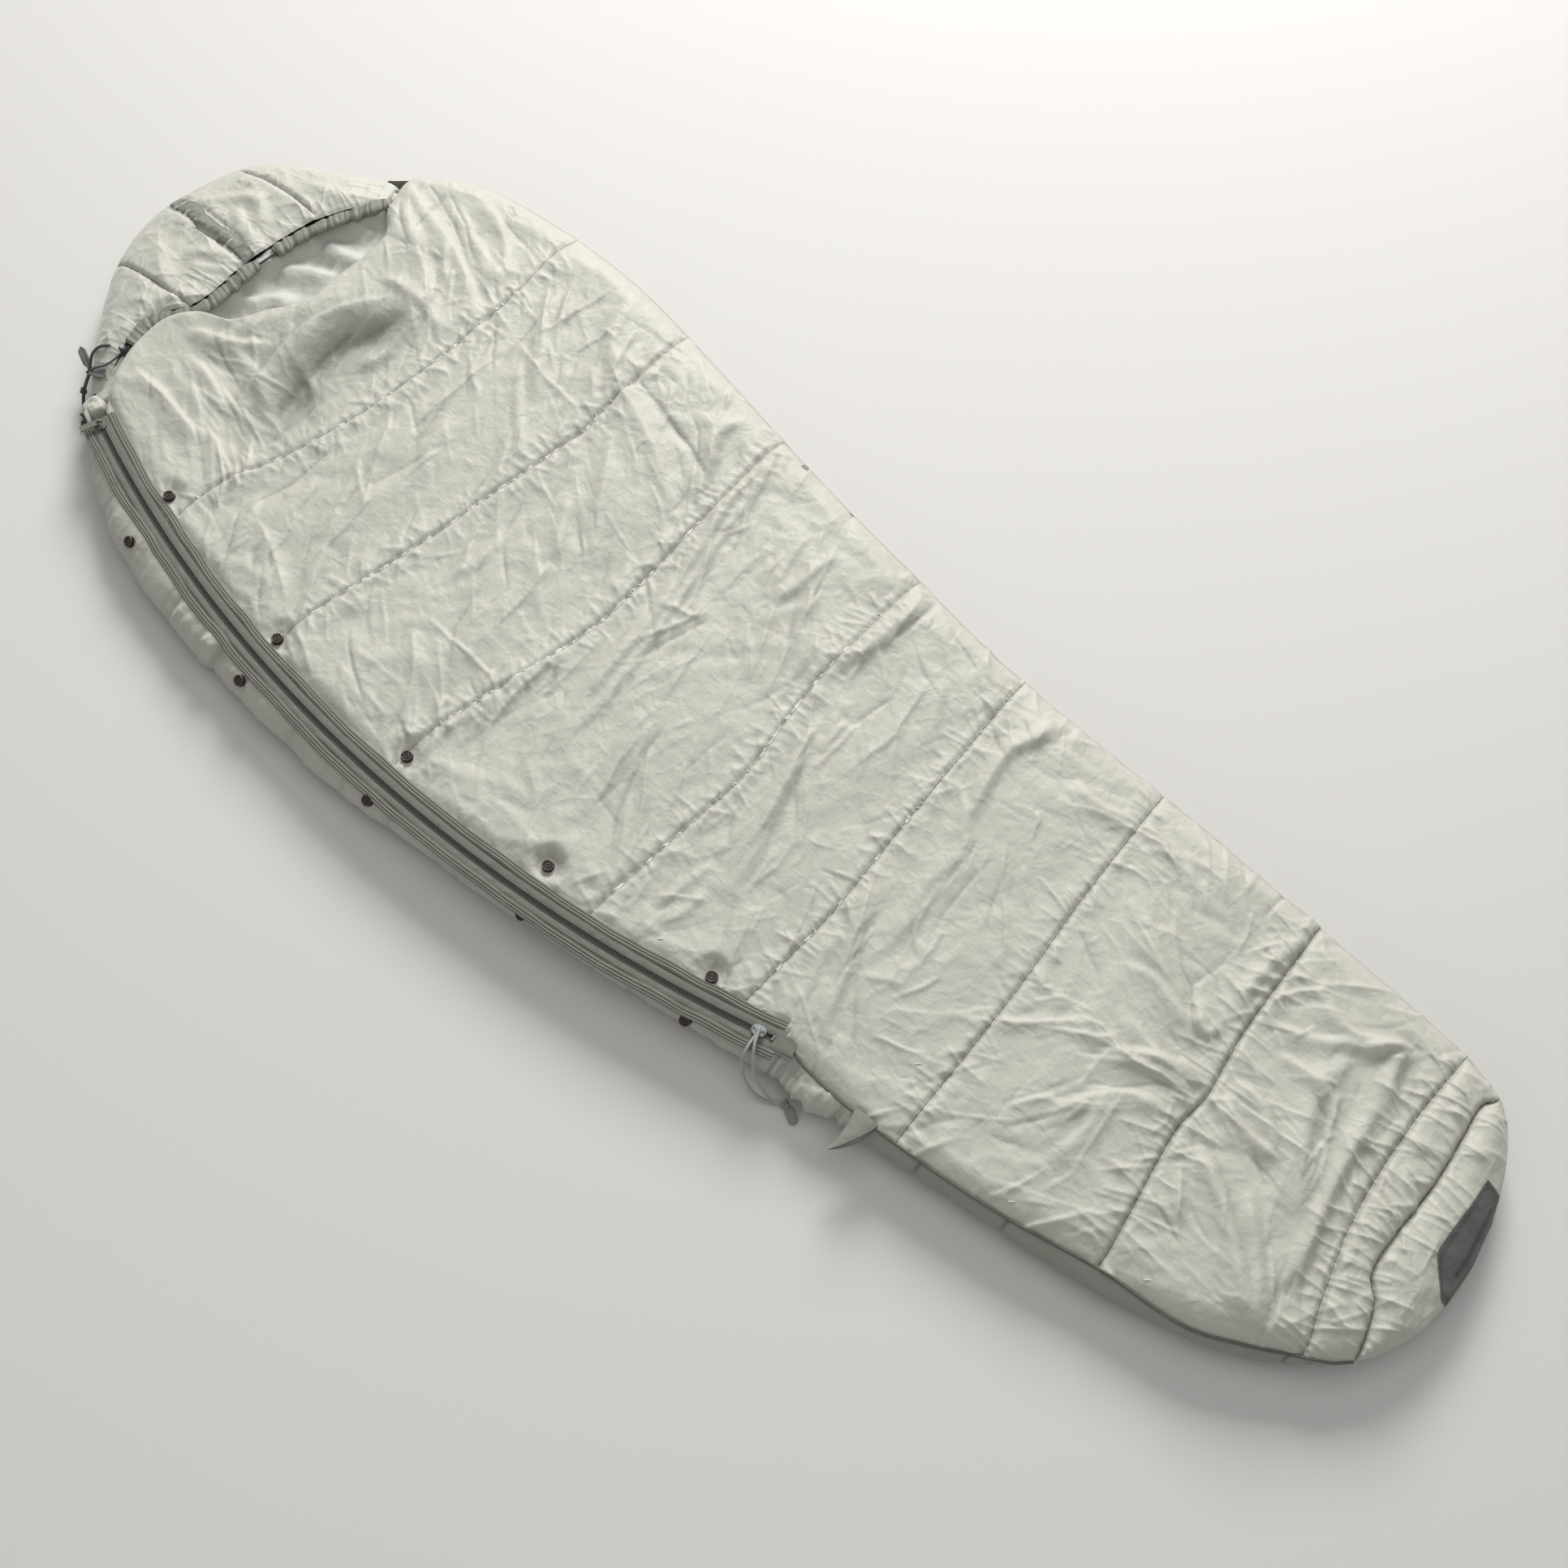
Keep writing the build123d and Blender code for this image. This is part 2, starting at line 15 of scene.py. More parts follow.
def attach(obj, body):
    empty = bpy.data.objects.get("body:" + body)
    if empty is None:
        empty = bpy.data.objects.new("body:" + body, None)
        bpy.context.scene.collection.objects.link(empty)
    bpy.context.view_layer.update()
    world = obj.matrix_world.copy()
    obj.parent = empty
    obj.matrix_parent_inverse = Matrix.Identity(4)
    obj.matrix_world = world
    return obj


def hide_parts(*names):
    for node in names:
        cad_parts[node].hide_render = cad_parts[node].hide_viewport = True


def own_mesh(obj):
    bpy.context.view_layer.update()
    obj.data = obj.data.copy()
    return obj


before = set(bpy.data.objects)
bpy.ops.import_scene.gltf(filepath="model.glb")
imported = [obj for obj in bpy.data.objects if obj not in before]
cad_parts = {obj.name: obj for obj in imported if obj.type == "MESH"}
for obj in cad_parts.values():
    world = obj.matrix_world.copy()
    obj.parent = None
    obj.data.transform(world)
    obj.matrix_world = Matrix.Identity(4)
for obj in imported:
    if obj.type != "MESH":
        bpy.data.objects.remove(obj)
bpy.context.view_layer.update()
MM = 0.001

# ---- Plan of the bag, as the CAD has it ----

OUTLINE = [
    (-1092, 8), (-1060, -76), (-982, -170), (-882, -258), (-774, -334), (-622, -379), (-419, -396),
    (-317, -399), (-215, -396), (-12, -371), (192, -338), (395, -298), (598, -267), (802, -232),
    (954, -185), (1046, -114), (1086, -43), (1094, 20), (1090, 66), (1070, 150), (1034, 216),
    (985, 241), (903, 253), (598, 269), (293, 278), (90, 303), (-113, 332), (-317, 369),
    (-520, 397), (-724, 386), (-825, 352), (-902, 285), (-978, 236), (-1029, 206), (-1069, 160),
    (-1091, 80),
]
ZIP_CX, ZIP_CY, ZIP_R = -225.0, 1726.0, 2083.0
ZIP_HEAD_X, ZIP_FOOT_X = -850.0, 384.0
SIDE_SEAM = [(384, -262), (405, -260), (430, -266), (500, -266), (598, -256), (700, -239), (800, -214),
             (900, -199), (960, -170), (1002, -144), (1035, -124), (1053, -106)]
# Across the panel, from the near side to the far side.
NECK = [(-860, -246), (-880, -222), (-897, -195), (-914, -150), (-918, -100), (-893, -60), (-851, -40),
        (-826, 0), (-796, 50), (-800, 100), (-806, 200), (-838, 236), (-862, 285), (-880, 330)]
SEAMS = [
    [(-650, -330), (-650, -230), (-620, -130), (-600, -30), (-590, 100), (-595, 250), (-610, 350), (-612, 400)],
    [(-415, -350), (-412, -280), (-390, -130), (-375, 0), (-360, 150), (-363, 200), (-375, 360), (-378, 390)],
    [(-182, -350), (-178, -260), (-150, -120), (-137, 0), (-150, 180), (-160, 320), (-162, 350)],
    [(126, -330), (128, -290), (135, -150), (138, -50), (118, 90), (112, 285), (111, 310)],
    [(330, -290), (330, -260), (332, -120), (322, 0), (315, 100), (303, 260), (302, 290)],
    [(558, -265), (557, -245), (547, -50), (532, 100), (522, 260), (521, 290)],
    [(800, -225), (798, -195), (790, -150), (773, -45), (775, 10), (762, 100), (755, 245), (754, 270)],
    [(1012, -150), (1005, -120), (990, -80), (967, 10), (957, 130), (960, 220), (962, 250)],
]
FOOT_EDGE = [(1056, -106), (1052, -100), (1035, -50), (1012, -15), (1012, 100), (1003, 200), (1012, 222),
             (1014, 232)]


def smooth(points, count, closed=False):
    """Evenly spaced points on a Catmull-Rom curve through the given ones."""
    p = np.array(points, float)
    if closed:
        p = np.vstack([p[-1], p, p[0], p[1]])
    else:
        p = np.vstack([2 * p[0] - p[1], p, 2 * p[-1] - p[-2]])
    steps = 24
    t = np.linspace(0, 1, steps, endpoint=False)[:, None]
    out = []
    for a, b, c, d in zip(p, p[1:], p[2:], p[3:]):
        out.append(0.5 * (2 * b + (c - a) * t + (2 * a - 5 * b + 4 * c - d) * t**2 + (3 * b - a - 3 * c + d) * t**3))
    line = np.vstack(out + [p[-2][None]])
    run = run_of(line)
    at = np.linspace(0, run[-1], count)
    return np.stack([np.interp(at, run, line[:, k]) for k in range(p.shape[1])], axis=1)


def run_of(path):
    """Distance along a path at each of its points."""
    return np.r_[0, np.cumsum(np.linalg.norm(np.diff(path, axis=0), axis=1))]


def across(points):
    """x as a function of y along a line that crosses the bag."""
    line = smooth(sorted(points, key=lambda p: p[1]), 400)
    order = np.argsort(line[:, 1])
    return lambda y: np.interp(y, line[order, 1], line[order, 0])


def track_y(x, radius=ZIP_R):
    return ZIP_CY - np.sqrt(radius**2 - (np.asarray(x, float) - ZIP_CX) ** 2)


outline = smooth(OUTLINE, 2400, closed=True)
tip_head = outline[:, 0].argmin()
loop = np.roll(outline[:-1], -tip_head, axis=0)
tip_foot = loop[:, 0].argmax()
near_half, far_half = loop[: tip_foot + 1], loop[tip_foot:][::-1]
near_y = lambda x: np.interp(x, near_half[:, 0], near_half[:, 1])
far_y = lambda x: np.interp(x, far_half[:, 0], far_half[:, 1])
seam_line = smooth(SIDE_SEAM, 400)
PANEL_GAP = 13.0  # from the zipper's centre to each quilt's edge
OPEN_HEAD_X, OPEN_FOOT_X = -905, 1054  # where the near side's band starts to rise, and ends
FAR_Z = 43  # height of the far seam, the foot's seam and the hood's rim
ZIP_Z = 58.4  # height of the cloth's edges beside the zipper
BAND_SEAMS_X = (400, 592, 700, 1000)
BINDING_IN, BINDING_OUT = 12.6, 24.0  # the binding's edges, from the zipper's centre
BINDING_ROWS = (14.0, 17.6, 21.2)  # its stitched lines
TEETH_PITCH, TEETH_Z, RAIL_Z = 2.5, 58.8, 59.4


def panel_near_y(x):
    """Near edge of the top quilt: beside the zipper, then along the side seam."""
    x = np.asarray(x, float)
    return np.where(x < ZIP_FOOT_X, track_y(np.minimum(x, 400), ZIP_R - PANEL_GAP),
                    np.interp(x, seam_line[:, 0], seam_line[:, 1]))


def ease(t):
    """0 to 1 with a soft start and end."""
    return t * t * (3 - 2 * t)


def noise(x, y, scale, seed, octaves=3):
    """Smooth value noise from -1 to 1, the same on each run."""
    total, size, weight = np.zeros_like(x, dtype=float), scale, 1.0
    for k in range(octaves):
        table = np.random.default_rng(seed + 31 * k).uniform(-1, 1, (64, 64))
        u, v = x / size + 13.7 * k, y / size + 5.3 * k
        i, j = np.floor(u).astype(int), np.floor(v).astype(int)
        fu, fv = u - i, v - j
        fu, fv = ease(fu), ease(fv)
        g = lambda a, b: table[(i + a) % 64, (j + b) % 64]
        near, far = g(0, 0) * (1 - fu) + g(1, 0) * fu, g(0, 1) * (1 - fu) + g(1, 1) * fu
        total += weight * (near * (1 - fv) + far * fv)
        size, weight = size / 2, weight / 2
    return total


def nearest(q, line):
    """For each point: its distance to a line, which side of it, and how far along from 0 to 1."""
    best, side, along = np.full(len(q), 1e9), np.zeros(len(q)), np.zeros(len(q))
    for k, (a, b) in enumerate(zip(line, line[1:])):
        ab = b - a
        t = np.clip(((q - a) @ ab) / (ab @ ab), 0, 1)
        gap = q - a - t[:, None] * ab
        d = np.hypot(gap[:, 0], gap[:, 1])
        hit = d < best
        best[hit] = d[hit]
        side[hit] = ab[0] * gap[hit, 1] - ab[1] * gap[hit, 0]
        along[hit] = (k + t[hit]) / (len(line) - 1)
    return best, side, along


def fold(x, y, points, height, width, steep=0.45, ends=0.25):
    """Height of one fold of cloth: a ridge along a line, steep on its left side and easy on its right."""
    line = smooth(points, max(12, int(run_of(np.array(points, float))[-1] / 9)))
    out = np.zeros_like(x, dtype=float)
    lo, hi = line.min(0) - 3 * width, line.max(0) + 3 * width
    near = (x > lo[0]) & (x < hi[0]) & (y > lo[1]) & (y < hi[1])
    if not near.any():
        return out
    q = np.stack([x[near], y[near]], axis=1)
    best, side, along = nearest(q, line)
    w = np.where(side > 0, width * steep, width)
    taper = ease(np.clip(np.minimum(along, 1 - along) / ends, 0, 1))
    out[near] = height * np.exp(-((best / w) ** 2)) * taper
    return out


# ---- Meshes ----


def mesh_object(name, verts, faces, material=None, body="bag", smooth_shade=True, parent_ride=True):
    """A new mesh object from points in millimetres."""
    mesh = bpy.data.meshes.new(name)
    mesh.from_pydata((np.asarray(verts, float) * MM).tolist(), [], [tuple(f) for f in faces])
    mesh.validate()
    if smooth_shade:
        mesh.shade_smooth()
    obj = bpy.data.objects.new(name, mesh)
    bpy.context.scene.collection.objects.link(obj)
    if material:
        mesh.materials.append(material)
    if parent_ride:
        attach(obj, body)
    return obj


def grid_faces(rows, cols, closed=False):
    """Quads of a grid of points stored row by row."""
    i, j = np.meshgrid(np.arange(rows - 1), np.arange(cols if closed else cols - 1), indexing="ij")
    k = (j + 1) % cols
    quads = np.stack([i * cols + j, (i + 1) * cols + j, (i + 1) * cols + k, i * cols + k], axis=-1)
    return quads.reshape(-1, 4)


def set_uv(obj, uv):
    """Plan coordinates for the weave, one per vertex, in metres."""
    layer = obj.data.uv_layers.new(name="weave")
    index = np.zeros(len(obj.data.loops), int)
    obj.data.loops.foreach_get("vertex_index", index)
    layer.data.foreach_set("uv", (np.asarray(uv, float)[index] * MM).ravel())


def points_of(obj):
    co = np.zeros(len(obj.data.vertices) * 3)
    obj.data.vertices.foreach_get("co", co)
    return co.reshape(-1, 3) / MM


def put_points(obj, points):
    obj.data.vertices.foreach_set("co", (points * MM).ravel())
    obj.data.update()


def subdivide(obj):
    """One level of subdivision, applied."""
    modifier = obj.modifiers.new("finer", "SUBSURF")
    modifier.levels = modifier.render_levels = 1
    depsgraph = bpy.context.evaluated_depsgraph_get()
    mesh = bpy.data.meshes.new_from_object(obj.evaluated_get(depsgraph), depsgraph=depsgraph)
    old = obj.data
    obj.modifiers.clear()
    obj.data = mesh
    bpy.data.meshes.remove(old)
    obj.data.shade_smooth()


def wrinkle(obj, pinned, grow, frames=24, pressure=0.5, cap=11.0, stiffness=12.0):
    """Cloth simulation of a panel that is held at its seams and has more cloth than the space between them."""
    flat = points_of(obj)
    group = obj.vertex_groups.new(name="held")
    for weight in np.unique(pinned[pinned > 0]):
        group.add(np.nonzero(pinned == weight)[0].tolist(), float(weight), "REPLACE")
    obj.shape_key_add(name="now")
    rest = obj.shape_key_add(name="cut")
    wide = flat.copy()
    wide[:, 0] *= 1 + grow[0]
    wide[:, 1] *= 1 + grow[1]
    rest.data.foreach_set("co", (wide * MM).ravel())
    cloth = obj.modifiers.new("cloth", "CLOTH")
    s = cloth.settings
    s.quality = 4
    s.mass = 0.15
    s.tension_stiffness = s.compression_stiffness = stiffness
    s.shear_stiffness = stiffness * 0.5
    s.bending_stiffness = 0.004
    s.air_damping = 2.0
    s.vertex_group_mass = "held"
    s.pin_stiffness = 1.0
    s.rest_shape_key = rest
    s.use_pressure = True
    s.uniform_pressure_force = pressure
    s.effector_weights.gravity = 0.0
    cloth.collision_settings.use_collision = False
    cloth.point_cache.frame_start = 1
    cloth.point_cache.frame_end = frames + 1
    scene = bpy.context.scene
    for f in range(1, frames + 1):
        scene.frame_set(f)
    depsgraph = bpy.context.evaluated_depsgraph_get()
    done = obj.evaluated_get(depsgraph)
    co = np.zeros(len(done.data.vertices) * 3)
    done.data.vertices.foreach_get("co", co)
    moved = co.reshape(-1, 3) / MM - flat
    reach = np.linalg.norm(moved, axis=1)
    moved *= np.minimum(1, cap / np.maximum(reach, 1e-6))[:, None]
    obj.modifiers.clear()
    obj.shape_key_clear()
    obj.vertex_groups.clear()
    put_points(obj, flat + moved)
    scene.frame_set(1)
    print("wrinkle", obj.name, "moved", round(float(reach.mean()), 2), "to", round(float(reach.max()), 2))


# ---- Materials ----


def node_material(name):
    material = bpy.data.materials.new(name)
    material.use_nodes = True
    nodes, links = material.node_tree.nodes, material.node_tree.links
    return material, nodes, links, nodes["Principled BSDF"]


def feed(links, socket, value):
    """Sets a socket to a value, or links it to another node's output."""
    if hasattr(value, "is_output"):
        links.new(value, socket)
    else:
        socket.default_value = value


def mix_colour(nodes, links, factor, a, b, blend="MIX"):
    mix = nodes.new("ShaderNodeMix")
    mix.data_type = "RGBA"
    mix.blend_type = blend
    for socket, value in ((mix.inputs[0], factor), (mix.inputs[6], a), (mix.inputs[7], b)):
        feed(links, socket, value)
    return mix.outputs[2]


def math_node(nodes, links, operation, a, b=0.0, c=0.0):
    node = nodes.new("ShaderNodeMath")
    node.operation = operation
    for socket, value in zip(node.inputs, (a, b, c)):
        feed(links, socket, value)
    return node.outputs[0]


def noise_node(nodes, links, vector, scale, detail=3.0, rough=0.55):
    node = nodes.new("ShaderNodeTexNoise")
    node.inputs["Scale"].default_value = scale
    node.inputs["Detail"].default_value = detail
    node.inputs["Roughness"].default_value = rough
    links.new(vector, node.inputs["Vector"])
    return node.outputs["Fac"]


def ramp(nodes, links, value, low, high, out_low=0.0, out_high=1.0):
    node = nodes.new("ShaderNodeMapRange")
    node.inputs["From Min"].default_value = low
    node.inputs["From Max"].default_value = high
    node.inputs["To Min"].default_value = out_low
    node.inputs["To Max"].default_value = out_high
    links.new(value, node.inputs["Value"])
    return node.outputs["Result"]


def bump_node(nodes, links, height, strength, distance, under=None):
    """A bump on top of another one; gives its normal."""
    node = nodes.new("ShaderNodeBump")
    node.inputs["Strength"].default_value = strength
    node.inputs["Distance"].default_value = distance
    links.new(height, node.inputs["Height"])
    if under is not None:
        links.new(under, node.inputs["Normal"])
    return node.outputs["Normal"]


def fabric(name, colour, roughness=0.5, sheen=0.25, ripstop=0.0, weave=0.0007, weave_depth=0.25, shade_and_soil=0.12,
           mottle=0.06, use_uv=True, crumpled=0.0022):
    """Woven cloth: threads, a ripstop grid, uneven dye, random stains, shade painted into the low places and along
    seams, and a soft sheen.
    """
    material, nodes, links, shader = node_material(name)
    coords = nodes.new("ShaderNodeTexCoord")
    plan = coords.outputs["UV"] if use_uv else coords.outputs["Object"]
    place = coords.outputs["Object"]
    split = nodes.new("ShaderNodeSeparateXYZ")
    links.new(plan, split.inputs[0])
    sine = {}
    for axis in "XY":
        turn = math_node(nodes, links, "MULTIPLY", split.outputs[axis], 2 * math.pi / weave)
        sine[axis] = math_node(nodes, links, "SINE", turn)
    threads = math_node(nodes, links, "MULTIPLY", sine["X"], sine["Y"])
    base = (*colour, 1)
    dark = (*[c * 0.74 for c in colour], 1)
    light = (*[min(1, c * 1.08) for c in colour], 1)
    big = noise_node(nodes, links, place, 4.0, 4.0)
    small = noise_node(nodes, links, place, 60.0, 3.0)
    value = mix_colour(nodes, links, ramp(nodes, links, big, 0.3, 0.7, 0, mottle * 4), base, dark)
    value = mix_colour(nodes, links, ramp(nodes, links, small, 0.35, 0.75, 0, mottle * 3), value, light)
    stain = noise_node(nodes, links, place, 9.0, 6.0, 0.7)
    value = mix_colour(nodes, links, ramp(nodes, links, stain, 0.56, 0.8, 0, shade_and_soil), value,
                       (colour[0] * 0.55, colour[1] * 0.52, colour[2] * 0.46, 1))
    # Painted shade: a per-point attribute darkens the colour in the hollows, in creases and along seam lines.
    near = nodes.new("ShaderNodeAttribute")
    near.attribute_name = "shade_and_soil"
    value = mix_colour(nodes, links, near.outputs["Fac"], value, (*[c * 0.42 for c in colour], 1))
    height = threads
    if ripstop:
        lines = []
        for axis in "XY":
            cell = math_node(nodes, links, "PINGPONG", split.outputs[axis], 0.003)
            lines.append(math_node(nodes, links, "LESS_THAN", cell, 0.00042))
        grid = math_node(nodes, links, "MAXIMUM", lines[0], lines[1])
        value = mix_colour(nodes, links, math_node(nodes, links, "MULTIPLY", grid, ripstop), value, dark)
        height = math_node(nodes, links, "ADD", threads, math_node(nodes, links, "MULTIPLY", grid, 1.6))
    links.new(value, shader.inputs["Base Color"])
    wander = nodes.new("ShaderNodeTexNoise")
    wander.inputs["Scale"].default_value = 26.0
    wander.inputs["Detail"].default_value = 3.0
    links.new(place, wander.inputs["Vector"])
    shifted = nodes.new("ShaderNodeVectorMath")
    shifted.operation = "MULTIPLY_ADD"
    links.new(wander.outputs["Color"], shifted.inputs[0])
    shifted.inputs[1].default_value = (0.05, 0.05, 0.05)
    links.new(place, shifted.inputs[2])
    facets = nodes.new("ShaderNodeTexVoronoi")
    facets.feature = "F1"
    facets.inputs["Scale"].default_value = 42.0
    facets.inputs["Detail"].default_value = 1.0
    links.new(shifted.outputs[0], facets.inputs["Vector"])
    crushed = bump_node(nodes, links, facets.outputs["Distance"], 0.5, crumpled)
    rumpled = bump_node(nodes, links, noise_node(nodes, links, place, 95.0, 4.0, 0.6), 0.35, 0.0012, crushed)
    links.new(bump_node(nodes, links, height, weave_depth, 0.0001, rumpled), shader.inputs["Normal"])
    rough = ramp(nodes, links, small, 0.3, 0.7, roughness - 0.06, roughness + 0.08)
    links.new(rough, shader.inputs["Roughness"])
    shader.inputs["Sheen Weight"].default_value = sheen
    shader.inputs["Sheen Roughness"].default_value = 0.35
    shader.inputs["Specular IOR Level"].default_value = 0.32
    return material


def plain(name, colour, roughness, metallic=0.0, wear=0.0, wear_colour=(0.5, 0.5, 0.48), bump_scale=400.0,
          bump_depth=0.0002):
    """Metal, plastic or cord: uneven colour, worn high edges and a fine surface."""
    material, nodes, links, shader = node_material(name)
    coords = nodes.new("ShaderNodeTexCoord")
    place = coords.outputs["Object"]
    spots = noise_node(nodes, links, place, bump_scale, 4.0)
    tone = mix_colour(nodes, links, ramp(nodes, links, spots, 0.3, 0.7, 0.0, 0.5), (*colour, 1),
                      (*[c * 0.6 for c in colour], 1))
    if wear:
        edge = nodes.new("ShaderNodeNewGeometry")
        worn = ramp(nodes, links, edge.outputs["Pointiness"], 0.51, 0.58, 0.0, wear)
        tone = mix_colour(nodes, links, worn, tone, (*wear_colour, 1))
    links.new(tone, shader.inputs["Base Color"])
    shader.inputs["Metallic"].default_value = metallic
    links.new(ramp(nodes, links, spots, 0.3, 0.7, roughness - 0.07, roughness + 0.1), shader.inputs["Roughness"])
    links.new(bump_node(nodes, links, spots, 0.5, bump_depth), shader.inputs["Normal"])
    return material


SAGE = (0.505, 0.502, 0.442)
shell_cloth = fabric("shell_nylon", SAGE, roughness=0.50, sheen=0.35, ripstop=0.10)
# The side band's cloths are the shell's cloth painted darker for the shade on the band: a little on the near strip
# below the zipper, much more on the rest.
shaded_band_cloth = fabric("side_band_nylon_shaded", (0.30, 0.30, 0.26), roughness=0.5, sheen=0.25, ripstop=0.1)
shaded_strip_cloth = fabric("near_strip_nylon_shaded", (0.46, 0.457, 0.40), roughness=0.5, sheen=0.25, ripstop=0.10)
lining_cloth = fabric("lining_nylon", (0.52, 0.52, 0.475), roughness=0.62, sheen=0.25)
tape_cloth = fabric("tape_weave", (0.17, 0.17, 0.147), roughness=0.7, sheen=0.2, weave=0.0012, weave_depth=0.6)
binding_cloth = fabric("binding_weave", (0.22, 0.22, 0.19), roughness=0.72, sheen=0.2, weave=0.0012,
                       weave_depth=0.6)
patch_cloth = fabric("patch_cordura", (0.115, 0.126, 0.115), roughness=0.75, sheen=0.3, weave=0.0016,
                     weave_depth=0.9, use_uv=False)
thread_dark = plain("seam_thread", (0.16, 0.165, 0.14), 0.7)
thread_white = plain("loose_thread", (0.86, 0.86, 0.82), 0.6)
coil_nylon = plain("coil_nylon", (0.075, 0.078, 0.064), 0.42)

# ---- Top quilt ----

CELL = 4.5
LINES = [NECK] + SEAMS + [FOOT_EDGE]
PUFF = [8, 11, 12, 12, 10, 11, 12, 12, 9]
CROWN = ([-860, -700, -400, 0, 500, 800, 950, 1040], [66, 64, 66, 63, 61, 62, 64, 58])
NEAR_RIM = ([-880, 380, 440, 700, 1000, 1055], [58.6, 58.6, 52, 51, 46, 43])

# Folds: line, height, width; the left side of the line is the steep one.
NECK_VALLEY = [(-668, -132), (-690, -60), (-706, 20), (-690, 90), (-662, 135)]
FOLDS = [
    (NECK_VALLEY, -21, 34),
    ([(-840, -125), (-818, -50), (-790, 10), (-768, 70), (-772, 140)], 7, 30),
    ([(-722, -145), (-740, -60), (-752, 20), (-738, 90), (-706, 150)], 9, 16),
    ([(-636, -150), (-646, -90), (-640, -20)], 5, 12),
    ([(-600, 130), (-640, 150), (-700, 158), (-760, 150)], 5, 13),
    ([(142, 292), (146, 240), (138, 190), (124, 130), (118, 88)], 9, 22),
    ([(150, 292), (152, 240), (146, 190)], -6, 9),
    ([(-158, 290), (-135, 190), (-108, 90), (-88, 0), (-78, -90), (-72, -160)], 7, 15),
    ([(-140, 300), (-118, 200), (-92, 90), (-68, -20), (-52, -120), (-62, -190)], 5, 13),
    ([(150, 70), (172, 0), (196, -80), (208, -160)], 6, 13),
    ([(168, 40), (190, -40), (216, -120), (232, -190)], 4, 12),
    ([(362, 268), (368, 225), (352, 180), (362, 120), (378, 70)], 8, 16),
    ([(-470, 380), (-440, 300), (-380, 250), (-260, 200), (-190, 150)], 6, 18),
    ([(-340, 190), (-300, 150), (-230, 60), (-180, 10)], 4, 12),
    ([(-300, 80), (-270, 40), (-235, -5)], 5, 12),
    ([(-215, 330), (-220, 280), (-200, 240), (-170, 180)], 7, 15),
    ([(-520, 200), (-470, 150), (-400, 90), (-350, 60)], 4, 14),
    ([(-560, 330), (-540, 270), (-490, 210), (-430, 140)], 5, 14),
    ([(-500, 60), (-480, 0), (-440, -40)], 4, 14),
    ([(-320, 0), (-310, -60), (-318, -120)], 4, 10),
    ([(15, 260), (12, 200), (5, 130)], 4, 10),
    ([(-30, 250), (-22, 200), (-5, 150)], 4, 9),
    ([(20, 195), (60, 140), (90, 90), (105, 20)], 4, 12),
    ([(400, 60), (390, -20), (420, -100)], 3, 16),
    ([(230, 210), (260, 150), (290, 110)], 3, 12),
    ([(190, -160), (186, -200), (180, -250)], 4, 8),
    ([(210, -190), (208, -230), (196, -262)], 3.5, 8),
    ([(340, -40), (370, -110), (400, -180), (420, -240)], 5, 16),
    ([(350, -120), (365, -180), (385, -240)], 4, 11),
    ([(430, 210), (470, 200), (520, 215)], 4, 12),
    ([(330, 110), (390, 60), (440, -10)], 3, 16),
    ([(560, 160), (620, 110), (690, 60), (745, 30)], 5, 20),
    ([(600, 60), (650, 70), (700, 62), (750, 90)], 4, 14),
    ([(655, -45), (690, -10), (730, 10), (770, 12)], 7, 15),
    ([(640, 20), (690, 10), (740, 0), (772, -8)], 4, 13),
    ([(660, -150), (672, -100), (695, -60), (740, -40), (772, -40)], 5, 13),
    ([(690, -170), (700, -110), (690, -60)], 4, 11),
    ([(760, 240), (742, 190), (738, 130), (758, 100)], 5, 12),
    ([(745, 85), (730, 60), (700, 90)], 4, 9),
    ([(785, 20), (820, 5), (860, 0), (880, 2)], 7, 10),
    ([(780, 40), (820, 40), (850, 20), (870, -5)], 6, 10),
    ([(785, -45), (830, -60), (880, -95), (930, -140), (960, -160)], 8, 15),
    ([(860, -40), (900, -80), (935, -120), (960, -160)], 6, 12),
    ([(790, 190), (850, 170), (890, 195), (930, 200)], 7, 16),
    ([(860, 150), (900, 195), (915, 150), (940, 120)], 9, 14),
    ([(870, 160), (860, 110), (870, 60), (900, 0), (935, -60)], 8, 20),
    ([(915, 140), (925, 60), (935, 0), (950, -60), (970, -110)], 9, 16),
    ([(800, 100), (850, 100), (890, 90)], 5, 12),
    ([(780, 120), (830, 140), (870, 170)], 5, 12),
    ([(-850, 262), (-780, 235), (-720, 200), (-640, 160)], 7, 22),
    ([(-860, 290), (-800, 275), (-720, 255), (-650, 225), (-600, 180)], 6, 20),
    ([(-790, 320), (-720, 290), (-660, 270), (-600, 250)], 5, 18),
    ([(-760, 345), (-700, 330), (-640, 290), (-605, 270)], 4, 15),
    ([(-730, 255), (-700, 225), (-680, 205)], 4, 9),
    ([(-650, 300), (-630, 250), (-600, 200), (-550, 150)], 4, 14),
    ([(-700, 190), (-665, 130), (-650, 60), (-665, 0)], 9, 24),
    ([(-860, -120), (-800, -118), (-740, -128), (-680, -128), (-640, -110)], 6, 16),
    ([(-880, -185), (-820, -180), (-760, -190), (-700, -180)], 5, 18),
    ([(-820, -80), (-760, -70), (-700, -90), (-650, -120)], 6, 16),
    ([(-640, -40), (-690, -30), (-730, -10), (-750, 40)], 6, 18),
    ([(-880, -100), (-850, -80), (-800, -60), (-760, -20)], 7, 16),
    ([(-850, -150), (-800, -150), (-750, -160)], 3, 14),
    ([(-560, 60), (-520, 0), (-500, -60)], 3, 16),
    ([(-560, -120), (-540, -200), (-520, -260)], 3, 16),
    ([(-600, -190), (-570, -230), (-550, -280)], 4, 12),
]


